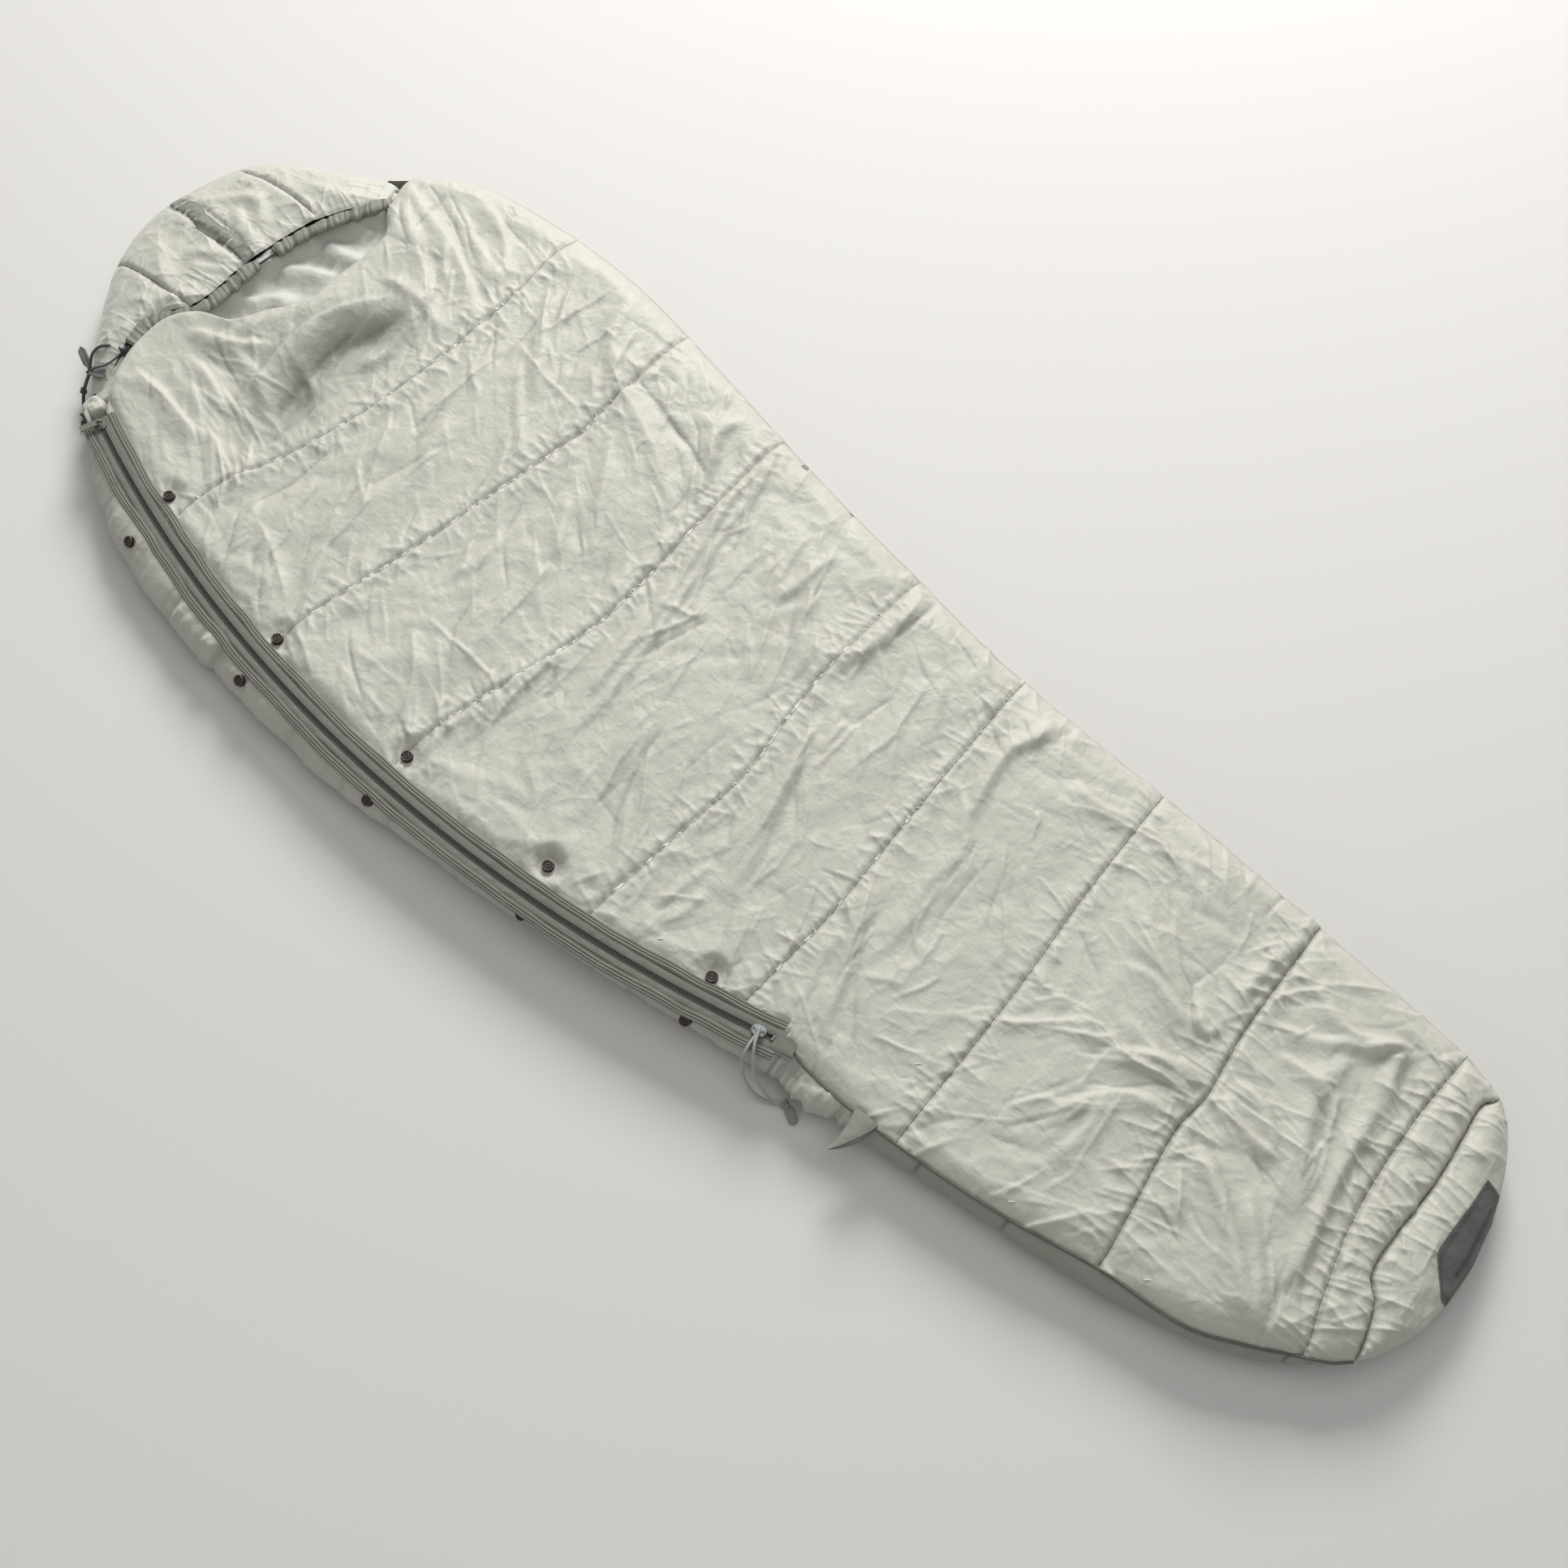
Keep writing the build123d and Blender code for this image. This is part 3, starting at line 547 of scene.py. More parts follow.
def snaps_of(node):
    """The points of each snap in a node that holds a row of them."""
    co = np.array([v.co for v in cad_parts[node].data.vertices]) / MM
    order = np.argsort(co[:, 0])
    return np.split(co[order], np.nonzero(np.diff(co[order, 0]) > 50)[0] + 1)


def panel_grid(lines, near, far, cell):
    """Plan grid between crossing lines, with a row on each; gives x, y and the seam number of each row."""
    curves = [across(line) for line in lines]
    rows = []
    for k in range(len(lines) - 1):
        gap = np.mean([curves[k + 1](y) - curves[k](y) for y in np.linspace(-180, 200, 9)])
        count = max(4, int(round(gap / cell)))
        rows += [k + i / count for i in range(count)]
    rows.append(len(lines) - 1)
    rows = np.array(rows)
    cols = int(round(660 / cell))
    v = np.linspace(0, 1, cols)
    xs, ys = np.zeros((len(rows), cols)), np.zeros((len(rows), cols))
    for i, row in enumerate(rows):
        k = min(int(row), len(lines) - 2)
        f = row - k
        before, after = (np.mean(np.array(lines[m])[:, 0]) for m in (k, k + 1))
        x = np.full(cols, before * (1 - f) + after * f)
        for _ in range(12):
            y = near(x) + (far(x) - near(x)) * v
            x = 0.5 * x + 0.5 * (curves[k](y) * (1 - f) + curves[k + 1](y) * f)
        xs[i], ys[i] = x, y
    return xs, ys, rows


px, py, prow = panel_grid(LINES, panel_near_y, far_y, CELL)
between = prow - np.minimum(np.floor(prow), len(LINES) - 2)
d_near, d_far = py - panel_near_y(px), far_y(px) - py
rim = np.interp(px, *NEAR_RIM)
crown = np.interp(px, *CROWN)
STITCHED = np.where(px < ZIP_FOOT_X, 10.0, 0.0)  # width of the flat stitched edge beside the zipper
z_near = rim + (crown - rim) * (1 - np.exp(-np.maximum(d_near - STITCHED, 0) / 24))
z_far = FAR_Z + (crown - FAR_Z) * (1 - np.exp(-np.maximum(d_far, 0) / 30))
pz = -4.0 * np.log(np.exp(-z_near / 4) + np.exp(-z_far / 4))
puff = np.array(PUFF)[np.minimum(prow.astype(int), len(PUFF) - 1)]
swell = (4 * between * (1 - between)) ** 0.55
border = (1 - np.exp(-np.maximum(d_near, 0) / 22)) * (1 - np.exp(-np.maximum(d_far, 0) / 22))
pz += (puff * swell)[:, None] * border
for line, height, width in FOLDS:
    pz += fold(px, py, line, height, width) * np.clip(np.minimum(d_near, d_far) / 15, 0, 1)
pz += (noise(px, py, 70, 3) * 1.3 + noise(px * 0.5, py, 24, 9) * 0.5) * border

# Snaps sit in dimples.
studs = []
for node, row in (("upper_snap_studs", "upper"), ("lower_snap_studs", "lower")):
    studs += [(row, part.mean(0), part[:, 2].min()) for part in snaps_of(node)]
for row, middle, low in studs:
    if row == "upper":
        d = np.hypot(px - middle[0], py - middle[1])
        blend = ease(np.clip((d - 9) / 22, 0, 1))
        pz = (low - 0.2) * (1 - blend) + pz * blend

# The neck's padded edge rolls under and goes on inside.
LIP_R = 16.0
inside = px - px[0]
under = np.clip(LIP_R - inside, 0, LIP_R)
pz += 7.0 * np.exp(-((inside / 70) ** 2)) * border
pz -= (LIP_R - np.sqrt(np.maximum(LIP_R**2 - under**2, 0))) * (inside < LIP_R)
lip_rows = 5
lip_x, lip_y, lip_z = [], [], []
for k in range(lip_rows, 0, -1):
    a = math.pi / 2 * k / lip_rows
    lip_x.append(px[0] + LIP_R * (1 - math.cos(a)))
    lip_y.append(py[0])
    lip_z.append(pz[0] - LIP_R * math.sin(a))
top_x = np.vstack([np.array(lip_x), px])
top_y = np.vstack([np.array(lip_y), py])
top_z = np.vstack([np.array(lip_z), pz])
rows, cols = top_x.shape
top_points = np.stack([top_x, top_y, top_z], axis=-1).reshape(-1, 3)
top = mesh_object("top_shell", top_points, grid_faces(rows, cols)[:, ::-1], shell_cloth, parent_ride=False)
set_uv(top, top_points[:, :2])
held = np.zeros((rows, cols))
held[:, 0] = held[:, -1] = 1
held[0] = held[-1] = 1
held[:lip_rows] = 0.6
full_row = np.r_[np.zeros(lip_rows), prow]
held[np.isclose(full_row, np.round(full_row)) & (full_row > 0.5)] = 1
for row, middle, low in studs:
    held[np.hypot(top_x - middle[0], top_y - middle[1]) < 10] = 1
wrinkle(top, held.ravel(), (0.05, 0.10))


# Which way the small creases run, in degrees from +X towards +Y, at places on the plan.
GRAIN = [(-820, 250, -28), (-700, 300, -35), (-650, 120, -60), (-760, 60, -75), (-740, -60, 170), (-800, -150, 178),
         (-700, -200, 160), (-560, 300, -58), (-500, 120, -50), (-480, -20, -62), (-540, -200, -70),
         (-440, -260, -60), (-300, 260, -35), (-270, 110, -48), (-250, -60, -55), (-300, -220, -30),
         (-200, 300, -75), (-90, 100, -78), (-80, -100, -88), (-60, -250, -70), (40, 150, -65), (30, -150, -60),
         (180, 100, -80), (180, -100, -68), (200, -230, 85), (260, 200, -55), (260, -150, -80), (380, 150, -75),
         (400, -60, -66), (400, -200, -58), (470, 180, 20), (480, -150, 40), (640, 160, -42), (640, 40, -20),
         (640, -80, 50), (650, -190, 60), (740, 150, -100), (720, -120, 65), (830, 170, 30), (840, 60, 5),
         (840, -60, -35), (860, -160, -20), (900, 120, -80), (920, 0, -75), (920, -120, -55), (930, 200, 60)]


def grain_at(x, y):
    """Crease direction at one point, from the places near it; a direction and its opposite are the same."""
    g = np.array(GRAIN, float)
    weight = 1 / (((g[:, 0] - x) ** 2 + (g[:, 1] - y) ** 2) / 60.0**2 + 0.3) ** 2
    double = np.radians(g[:, 2]) * 2
    return math.atan2((weight * np.sin(double)).sum(), (weight * np.cos(double)).sum()) / 2


def crease(x, y, line, height, width, lean):
    """One sharp crease along a short line: a tent with one side steeper, sinking to nothing at its ends."""
    line = np.asarray(line, float)
    lo, hi = line.min(0) - 3.2 * width, line.max(0) + 3.2 * width
    near = np.nonzero((x > lo[0]) & (x < hi[0]) & (y > lo[1]) & (y < hi[1]))[0]
    if not len(near):
        return near, 0
    q = np.stack([x[near], y[near]], axis=1)
    best, side, along = nearest(q, line)
    w = np.where(side > 0, width * lean, width)
    taper = np.sin(math.pi * along) ** 0.7
    return near, height * np.exp(-(np.sqrt(best**2 + (0.08 * width) ** 2) / w)) * taper


def crumple(points, places, lengths, heights, widths, seed, spread=0.3):
    """Many small creases that follow the grain from random places; returns a height for each point."""
    local = np.random.default_rng(seed)
    x, y = points[:, 0], points[:, 1]
    out = np.zeros(len(points))
    for px0, py0 in places:
        length = local.uniform(*lengths)
        turn = local.normal(0, spread)
        line = [np.array([px0, py0])]
        for _ in range(4):
            angle = grain_at(*line[-1]) + turn
            step = np.array([math.cos(angle), math.sin(angle)])
            if len(line) > 1 and step @ (line[-1] - line[-2]) < 0:
                step = -step
            line.append(line[-1] + step * length / 4)
            turn += local.normal(0, 0.1)
        height = heights[0] + (heights[1] - heights[0]) * local.random() ** 2.2
        near, add = crease(x, y, line, height * local.choice([1, 1, -0.7]), local.uniform(*widths),
                           local.uniform(0.25, 0.8))
        out[near] += add
    return out


def gathers(points, lines, seed, pitch=(6, 14), lengths=(10, 32), heights=(0.5, 1.7), spread=0.45, groove=3.0):
    """Puckers that start on a sewn line and run off it to both sides, and the groove of the line itself."""
    local = np.random.default_rng(seed)
    x, y = points[:, 0], points[:, 1]
    out = np.zeros(len(points))
    for line in lines:
        path = smooth(line, 120)
        run = run_of(path)
        at = 0.0
        while at < run[-1]:
            at += local.uniform(*pitch)
            k = min(np.searchsorted(run, at), len(path) - 2)
            way = (path[k + 1] - path[k]) / np.linalg.norm(path[k + 1] - path[k])
            for turn in (-1, 1):
                length = local.uniform(*lengths)
                angle = math.atan2(way[1], way[0]) + turn * math.pi / 2 + local.normal(0, spread)
                step = np.array([math.cos(angle), math.sin(angle)]) * length / 3
                start = path[k]
                near, add = crease(x, y, [start - step * 0.6, start + step, start + 2 * step, start + 3 * step],
                                   local.uniform(*heights), local.uniform(2.4, 5.0), local.uniform(0.4, 1))
                out[near] += add
        out -= fold(x, y, path[::3], groove, 3.4, steep=1.0, ends=0.02)
    return out


def hollows(obj, co, rounds=12):
    """How far each point lies below the cloth round it."""
    pairs = np.zeros(len(obj.data.edges) * 2, int)
    obj.data.edges.foreach_get("vertices", pairs)
    a, b = pairs[::2], pairs[1::2]
    n = len(co)
    share = np.bincount(a, minlength=n) + np.bincount(b, minlength=n)
    around = co[:, 2].copy()
    for _ in range(rounds):
        around = (np.bincount(a, around[b], n) + np.bincount(b, around[a], n)) / np.maximum(share, 1)
    return around - co[:, 2]


def set_shade_and_soil(obj, values):
    layer = obj.data.attributes.new("shade_and_soil", "FLOAT", "POINT")
    layer.data.foreach_set("value", np.asarray(values, float).ravel())


def near_lines(x, y, lines, width):
    """1 on the lines, sinking to 0 beside them."""
    out = np.zeros_like(x, dtype=float)
    for line in lines:
        out = np.maximum(out, fold(x, y, line, 1.0, width, steep=1.0, ends=0.02))
    return out


subdivide(top)
co = points_of(top)
local = np.random.default_rng(11)


def scattered(count):
    return np.stack([local.uniform(-880, 1000, count), local.uniform(-380, 390, count)], axis=1)


co[:, 2] += crumple(co, scattered(620), (50, 190), (0.6, 5.4), (4.0, 9.5), 21)
co[:, 2] += crumple(co, scattered(1100), (22, 95), (0.5, 3.4), (2.4, 4.8), 22, spread=0.45)
co[:, 2] += crumple(co, scattered(1200), (10, 38), (0.3, 1.3), (2.0, 3.2), 23, spread=0.9)
co[:, 2] += gathers(co, SEAMS[:6], 50, (5, 12), (10, 45), (0.5, 2.6), groove=1.8)
co[:, 2] += gathers(co, SEAMS[6:7], 60, (5, 11), (20, 70), (0.8, 3.0), groove=3.6)
co[:, 2] += gathers(co, SEAMS[7:] + [FOOT_EDGE], 80, (6, 13), (20, 60), (1.0, 3.4), groove=3.0)
for row, middle, low in studs:
    if row == "upper":
        for heading in local.uniform(0, 2 * math.pi, 7):
            ray = np.array([math.cos(heading), math.sin(heading)])
            near, add = crease(co[:, 0], co[:, 1], [middle[:2] + ray * r for r in (6, 18, 30, 42)],
                               local.choice([1.6, 1.2, -1.4]), local.uniform(2.4, 4), local.uniform(0.4, 1))
            co[near, 2] += add
edge_gap = co[:, 1] - panel_near_y(co[:, 0])
flat_edge = np.clip((15 - edge_gap) / 5, 0, 1) * (co[:, 0] < 392)
co[:, 2] = np.minimum(co[:, 2], 59.0) * flat_edge + co[:, 2] * (1 - flat_edge)
for row, middle, low in studs:
    d = np.hypot(co[:, 0] - middle[0], co[:, 1] - middle[1])
    hold = np.clip((14 - d) / 6, 0, 1)
    co[:, 2] = co[:, 2] * (1 - hold) + np.minimum(co[:, 2], low - 0.1) * hold
put_points(top, co)
# Painted shade in the hollows of the quilt's cloth.
shade = np.clip((hollows(top, co) - 0.2) / 3.2, 0, 0.45)
# Darker along the seam lines.
shade = np.maximum(shade, 0.16 * near_lines(co[:, 0], co[:, 1], SEAMS[:5], 1.6))
shade = np.maximum(shade, 0.42 * near_lines(co[:, 0], co[:, 1], [SEAMS[5], SEAMS[7]], 1.8))
shade = np.maximum(shade, 0.75 * near_lines(co[:, 0], co[:, 1], [SEAMS[6], FOOT_EDGE], 1.7))
# Painted shade, with some stain, over the deep valley behind the neck roll.
shade = np.minimum(shade + 0.58 * near_lines(co[:, 0], co[:, 1], [NECK_VALLEY], 44), 0.9)
set_shade_and_soil(top, shade)
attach(top, "bag")
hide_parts("top_outer_shell", "top_batting", "top_lining", "neck_edge_piping")

# ---- Foot end ----

foot_rows, foot_cols = 16, 64
near_at, far_at = (1054, -107), (1013, 233)
i0 = np.argmin(np.hypot(*(outline - near_at).T))
i1 = np.argmin(np.hypot(*(outline - far_at).T))
foot_arc = outline[np.linspace(i0, i1, foot_cols).astype(int)]
foot_line = smooth(FOOT_EDGE, foot_cols)
u = np.linspace(0, 1, foot_rows)[:, None]
fx = foot_line[:, 0] * (1 - u) + foot_arc[:, 0] * u
fy = foot_line[:, 1] * (1 - u) + foot_arc[:, 1] * u
z_seam = np.interp(foot_line[:, 1], [-107, -60, 0, 150, 200, 233], [44, 54, 59, 60, 54, 44])
fz = FAR_Z + (z_seam - FAR_Z) * np.sqrt(1 - u**2) + 7 * np.sin(math.pi * np.clip(u * 1.15, 0, 1)) * np.clip(
    np.minimum(fy + 107, 233 - fy) / 50, 0, 1)
fz += noise(fx * 0.5, fy * 1.4, 34, 4) * 2.0 * np.sin(math.pi * u)
foot_points = np.stack([fx, fy, fz], axis=-1).reshape(-1, 3)
foot = mesh_object("foot_end", foot_points, grid_faces(foot_rows, foot_cols)[:, ::-1], shell_cloth,
                   parent_ride=False)
set_uv(foot, foot_points[:, :2])
subdivide(foot)
subdivide(foot)
co = points_of(foot)
co[:, 2] += gathers(co, [FOOT_EDGE], 80, (6, 13), (20, 60), (1.0, 3.2), groove=4.0)
co[:, 2] += crumple(co, np.stack([local.uniform(1010, 1090, 60), local.uniform(-100, 230, 60)], axis=1), (20, 60),
                    (0.4, 2.2), (3, 6), 31)
put_points(foot, co)
# Painted shade in the hollows of the foot's cloth, and darker along its seam.
set_shade_and_soil(foot, np.maximum(np.clip((hollows(foot, co) - 0.2) / 4, 0, 0.4),
                          0.75 * near_lines(co[:, 0], co[:, 1], [FOOT_EDGE], 1.7)))
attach(foot, "bag")
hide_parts("foot_end_shell")

# ---- Side band: all round, from the ground to the seam above ----

BAND_ROWS = 18
ring = smooth(OUTLINE, 1101, closed=True)[:-1]
count = len(ring)
tangent = np.roll(ring, -1, axis=0) - np.roll(ring, 1, axis=0)
tangent /= np.linalg.norm(tangent, axis=1)[:, None]
inward = np.stack([-tangent[:, 1], tangent[:, 0]], axis=1)
side = ring[:, 1] < near_y(ring[:, 0]) + 1
top_edge = ring + inward * 1.5
top_height = np.full(count, float(FAR_Z))
for k in range(count):
    x, y = ring[k]
    if side[k] and OPEN_HEAD_X < x < OPEN_FOOT_X:
        if x < ZIP_FOOT_X:
            target = np.array([x, float(track_y(x, ZIP_R + PANEL_GAP))])
            high = ZIP_Z
        else:
            target = np.array([x, float(np.interp(x, seam_line[:, 0], seam_line[:, 1]))])
            high = float(np.interp(x, *NEAR_RIM))
        share = ease(np.clip((x - OPEN_HEAD_X) / 40, 0, 1) * np.clip((OPEN_FOOT_X - x) / 50, 0, 1))
        top_edge[k] = top_edge[k] * (1 - share) + target * share
        top_height[k] = FAR_Z * (1 - share) + high * share
run = run_of(ring)
band = np.zeros((BAND_ROWS, count, 3))
for r in range(BAND_ROWS):
    t = r / (BAND_ROWS - 1)
    if t < 0.6:
        a = t / 0.6
        inset = np.interp(a, [0, 0.15, 0.4, 0.75, 1], [30, 17, 5, 0, 1])
        z = np.interp(a, [0, 0.15, 0.4, 0.75, 1], [0, 3, 13, 28, 38])
        band[r, :, :2] = ring + inward * inset
        band[r, :, 2] = z
    else:
        a = (t - 0.6) / 0.4
        start = ring + inward * 1.0
        band[r, :, :2] = start * (1 - a) + top_edge * a
        wide = np.linalg.norm(top_edge - start, axis=1)
        band[r, :, 2] = 38 + (top_height - 38) * a + np.sin(math.pi * a) * np.clip(wide * 0.12, 0, 6)
sx = run[None, :]
tt = np.linspace(0, 1, BAND_ROWS)[:, None]
bulge = np.sin(math.pi * np.clip(tt, 0, 1)) ** 0.7
ripple = noise(sx + 0 * tt, 60 * tt + 0 * sx, 26, 17) * 1.6 * bulge
gather = np.zeros(count)
for middle, width, size in ((-480, 120, 3.2), (445, 45, 4.0), (-720, 80, 1.2), (330, 60, 1.0)):
    gather += size * np.exp(-(((ring[:, 0] - middle) / width) ** 2)) * side
ripple += gather[None, :] * noise(sx + 30 * tt, 30 * tt + 0 * sx, 15, 23, 2) * bulge
band[:, :, 0] -= inward[:, 0] * ripple
band[:, :, 1] -= inward[:, 1] * ripple
band[:, :, 2] += ripple * 0.5 * tt
for seam_x in BAND_SEAMS_X:
    d = np.abs(ring[:, 0] - seam_x) + 1000 * (~side)
    dent = 2.2 * np.exp(-((d / 4) ** 2)) * bulge
    band[:, :, 0] += inward[:, 0] * dent
    band[:, :, 1] += inward[:, 1] * dent
side_band = mesh_object("side_band", band.reshape(-1, 3), grid_faces(BAND_ROWS, count, closed=True)[:, ::-1],
                        shaded_band_cloth, parent_ride=False)
uv = np.stack([np.broadcast_to(sx, (BAND_ROWS, count)), np.broadcast_to(tt * 75, (BAND_ROWS, count))], axis=-1)
set_uv(side_band, uv.reshape(-1, 2))
side_band.data.materials.append(shaded_strip_cloth)
# Painted shade: the near strip below the zipper takes the lighter of the band's cloths, and the rest of the band and
# the strip's lowest rows take the darker one.
middles = np.array([p.center for p in side_band.data.polygons]) / MM
STRIP_END_X = 515
on_strip = ((middles[:, 0] < STRIP_END_X) & (middles[:, 0] > OPEN_HEAD_X) & (middles[:, 1] < -200)
            & (middles[:, 2] > 9))
side_band.data.polygons.foreach_set("material_index", on_strip.astype(np.int32))
subdivide(side_band)
co = points_of(side_band)
across_strip = panel_near_y(np.clip(co[:, 0], OPEN_HEAD_X, OPEN_FOOT_X - 1)) - co[:, 1]
on_near = (co[:, 1] < -90) & (co[:, 0] > -900) & (co[:, 0] < 1050) & (co[:, 2] > 4)
local = np.random.default_rng(33)
push = np.zeros(len(co))
for count, low, high, tall, wide in ((75, -850, 1000, (0.5, 1.8), (2.5, 6)), (46, -575, -405, (1.0, 3.6), (2.5, 6)),
                                     (16, 402, 505, (3.5, 8.0), (5, 9)), (44, 402, 505, (1.2, 5.0), (2.5, 5)),
                                     (14, -760, -640, (0.6, 2.0), (2.5, 6)), (16, 150, 380, (0.6, 2.0), (2.5, 6))):
    for _ in range(count):
        x0, lean = local.uniform(low, high), local.normal(0, 14)
        w0 = local.uniform(-5, 25)
        near, add = crease(co[:, 0], across_strip, [(x0, w0), (x0 + lean * 0.5, w0 + 20), (x0 + lean, 95)],
                           local.uniform(*tall) * local.choice([1, -0.7]), local.uniform(*wide), local.uniform(0.4, 1))
        push[near] += add
edge_fade = np.clip((57.0 - co[:, 2]) / 6, 0, 1)
# Painted shade in the band's inward creases.
dark = np.clip(-push / 4, 0, 0.4)
# Darker along the band's seams.
for seam_x in BAND_SEAMS_X:
    line = np.exp(-(((co[:, 0] - seam_x) / 2.0) ** 2))
    push -= 1.6 * line
    dark = np.maximum(dark, 0.85 * line * on_near)
push *= on_near * edge_fade
middle_out = np.stack([np.interp(co[:, 0], near_half[:, 0], np.gradient(near_half[:, 1], near_half[:, 0])),
                       -np.ones(len(co))], axis=1)
middle_out /= np.linalg.norm(middle_out, axis=1)[:, None]
lean_up = np.clip((co[:, 2] - 20) / 25, 0, 1)
co[:, :2] += middle_out * (push * (1 - 0.6 * lean_up))[:, None]
co[:, 2] += push * lean_up
put_points(side_band, co)
set_shade_and_soil(side_band, dark * on_near)
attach(side_band, "bag")
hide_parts("side_band_shell", "side_band_batting")

# ---- Underside ----

under_rows = 12
base = ring + inward * 30
centre_x = np.clip(base[:, 0], -850, 850)
under_points = []
for r in range(under_rows):
    t = r / (under_rows - 1)
    under_points.append(np.stack([base[:, 0] * (1 - t) + centre_x * t, base[:, 1] * (1 - t),
                                  0.3 + 0.4 * (noise(base[:, 0] * (1 - t), base[:, 1] * (1 - t), 60, 5) + 1) * (t > 0)],
                                 axis=1))
underside = mesh_object("underside", np.vstack(under_points), grid_faces(under_rows, count, closed=True), shaded_band_cloth)
set_uv(underside, np.vstack(under_points)[:, :2])
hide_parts("bottom_outer_shell", "bottom_batting", "bottom_lining")

# ---- Hood ----

HOOD_EDGE = [(-896, -226), (-906, -200), (-920, -165), (-930, -112), (-902, -50), (-907, 40), (-900, 140), (-868, 232),
             (-878, 262), (-893, 280)]
hood_rows, hood_cols = 36, 110
i0 = np.argmin(np.hypot(*(outline - (-903, -240)).T))
i1 = np.argmin(np.hypot(*(outline - (-897, 288)).T))
span = (i0 - i1) % (len(outline) - 1)
head_arc = outline[(i0 - np.linspace(0, span, hood_cols).astype(int)) % (len(outline) - 1)]
hood_line = smooth(HOOD_EDGE, hood_cols)
u = np.linspace(0, 1, hood_rows)[:, None]
hx = head_arc[:, 0] * (1 - u) + hood_line[:, 0] * u
hy = head_arc[:, 1] * (1 - u) + hood_line[:, 1] * u
ends = np.clip(np.minimum(hood_line[:, 1] + 226, 280 - hood_line[:, 1]) / 90, 0, 1)
ends = ends * (2 - ends)
reach = np.linalg.norm(head_arc - hood_line, axis=1) * u
hz = 42 + (20 * ends + 4) * (1 - np.exp(-reach / 32)) + 9 * ends * np.sin(math.pi * np.clip(u, 0, 1)) ** 0.7
HOOD_FOLDS = [
    ([(-1062, 148), (-1035, 152), (-970, 160), (-896, 160)], -3, 5),
    ([(-1062, -78), (-1035, -75), (-960, -70), (-888, -60)], -3, 5),
    ([(-1085, 63), (-1000, 60), (-905, 60)], -3, 6), ([(-1085, 33), (-1000, 34), (-905, 40)], -3, 6),
    ([(-1010, 110), (-970, 118), (-930, 90)], 4, 12), ([(-985, -15), (-950, 15), (-915, 32)], 5, 11),
    ([(-960, -20), (-930, 0), (-908, 15)], 4, 8), ([(-1000, 100), (-960, 78), (-915, 70)], 4, 10),
    ([(-940, -100), (-925, -60), (-905, -40)], 5, 10), ([(-975, -110), (-945, -100), (-925, -110)], 3, 8),
    ([(-1040, 60), (-1010, 100), (-960, 130)], 3, 14), ([(-960, 190), (-920, 200), (-880, 210)], 3, 12),
    ([(-1030, -20), (-1000, -40), (-950, -45)], 3, 14), ([(-975, -150), (-950, -150), (-930, -140)], 2, 9),
]
for line, height, width in HOOD_FOLDS:
    hz += fold(hx, hy, line, height, width, steep=0.8) * np.clip(u * 6, 0, 1)
hz += noise(hx, hy, 50, 12) * 1.6 * np.sin(math.pi * u)
hood_points = np.stack([hx, hy, hz], axis=-1).reshape(-1, 3)
hood = mesh_object("hood_shell", hood_points, grid_faces(hood_rows, hood_cols)[:, ::-1], shell_cloth,
                   parent_ride=False)
set_uv(hood, hood_points[:, :2])
held = np.zeros((hood_rows, hood_cols))
held[0] = held[-1] = 1
held[:, 0] = held[:, -1] = 1
for x0, y0, x1, y1 in ((-1062, 148, -896, 160), (-1062, -78, -888, -60), (-1085, 63, -905, 60),
                       (-1085, 33, -905, 40)):
    line_y = np.interp(hx, [x0, x1], [y0, y1])
    held[np.abs(hy - line_y) < 3.0] = 1
wrinkle(hood, held.ravel(), (0.03, 0.04), frames=14, cap=7)
subdivide(hood)
subdivide(hood)
co = points_of(hood)
HOOD_SEAMS = [[(-1062, 147), (-1035, 150), (-970, 160), (-896, 161)],
              [(-1062, -82), (-1035, -75), (-960, -68), (-890, -58)]]
co[:, 2] += gathers(co, HOOD_SEAMS, 90, (7, 14), (12, 45), (0.4, 1.7), groove=2.4)
co[:, 2] += gathers(co, [HOOD_EDGE], 91, (6, 11), (15, 60), (0.6, 2.3), spread=0.35, groove=1.0)
co[:, 2] += gathers(co, [[(-1085, 61), (-1000, 61), (-908, 61)], [(-1085, 33), (-1000, 34), (-908, 36)]], 92, (6, 11),
                    (8, 34), (0.5, 1.8), groove=1.5)
for count, lengths, heights, widths, seed in ((50, (30, 90), (0.8, 3.2), (4, 9), 93),
                                              (90, (12, 45), (0.3, 1.2), (2.2, 4), 94)):
    local = np.random.default_rng(seed)
    for _ in range(count):
        start = np.array([local.uniform(-1085, -900), local.uniform(-190, 250)])
        heading = local.normal(0.1 if start[1] > 0 else 0.35, 0.6)
        step = np.array([math.cos(heading), math.sin(heading)]) * local.uniform(*lengths) / 2
        bow = np.array([-step[1], step[0]]) * local.normal(0, 0.25)
        near, add = crease(co[:, 0], co[:, 1], [start - step, start + bow, start + step],
                           heights[0] + (heights[1] - heights[0]) * local.random() ** 2, local.uniform(*widths),
                           local.uniform(0.4, 1))
        co[near, 2] += add * np.clip((co[near, 2] - 43) / 10, 0, 1)
put_points(hood, co)
# Painted shade in the hollows of the hood's cloth, and darker along its seams.
set_shade_and_soil(hood, np.maximum(np.clip((hollows(hood, co) - 0.2) / 3.5, 0, 0.42),
                          0.6 * near_lines(co[:, 0], co[:, 1], HOOD_SEAMS, 1.0)))
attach(hood, "bag")
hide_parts("hood_outer_shell", "hood_batting", "hood_lining")

# ---- Helpers for strips, tubes and stitches ----


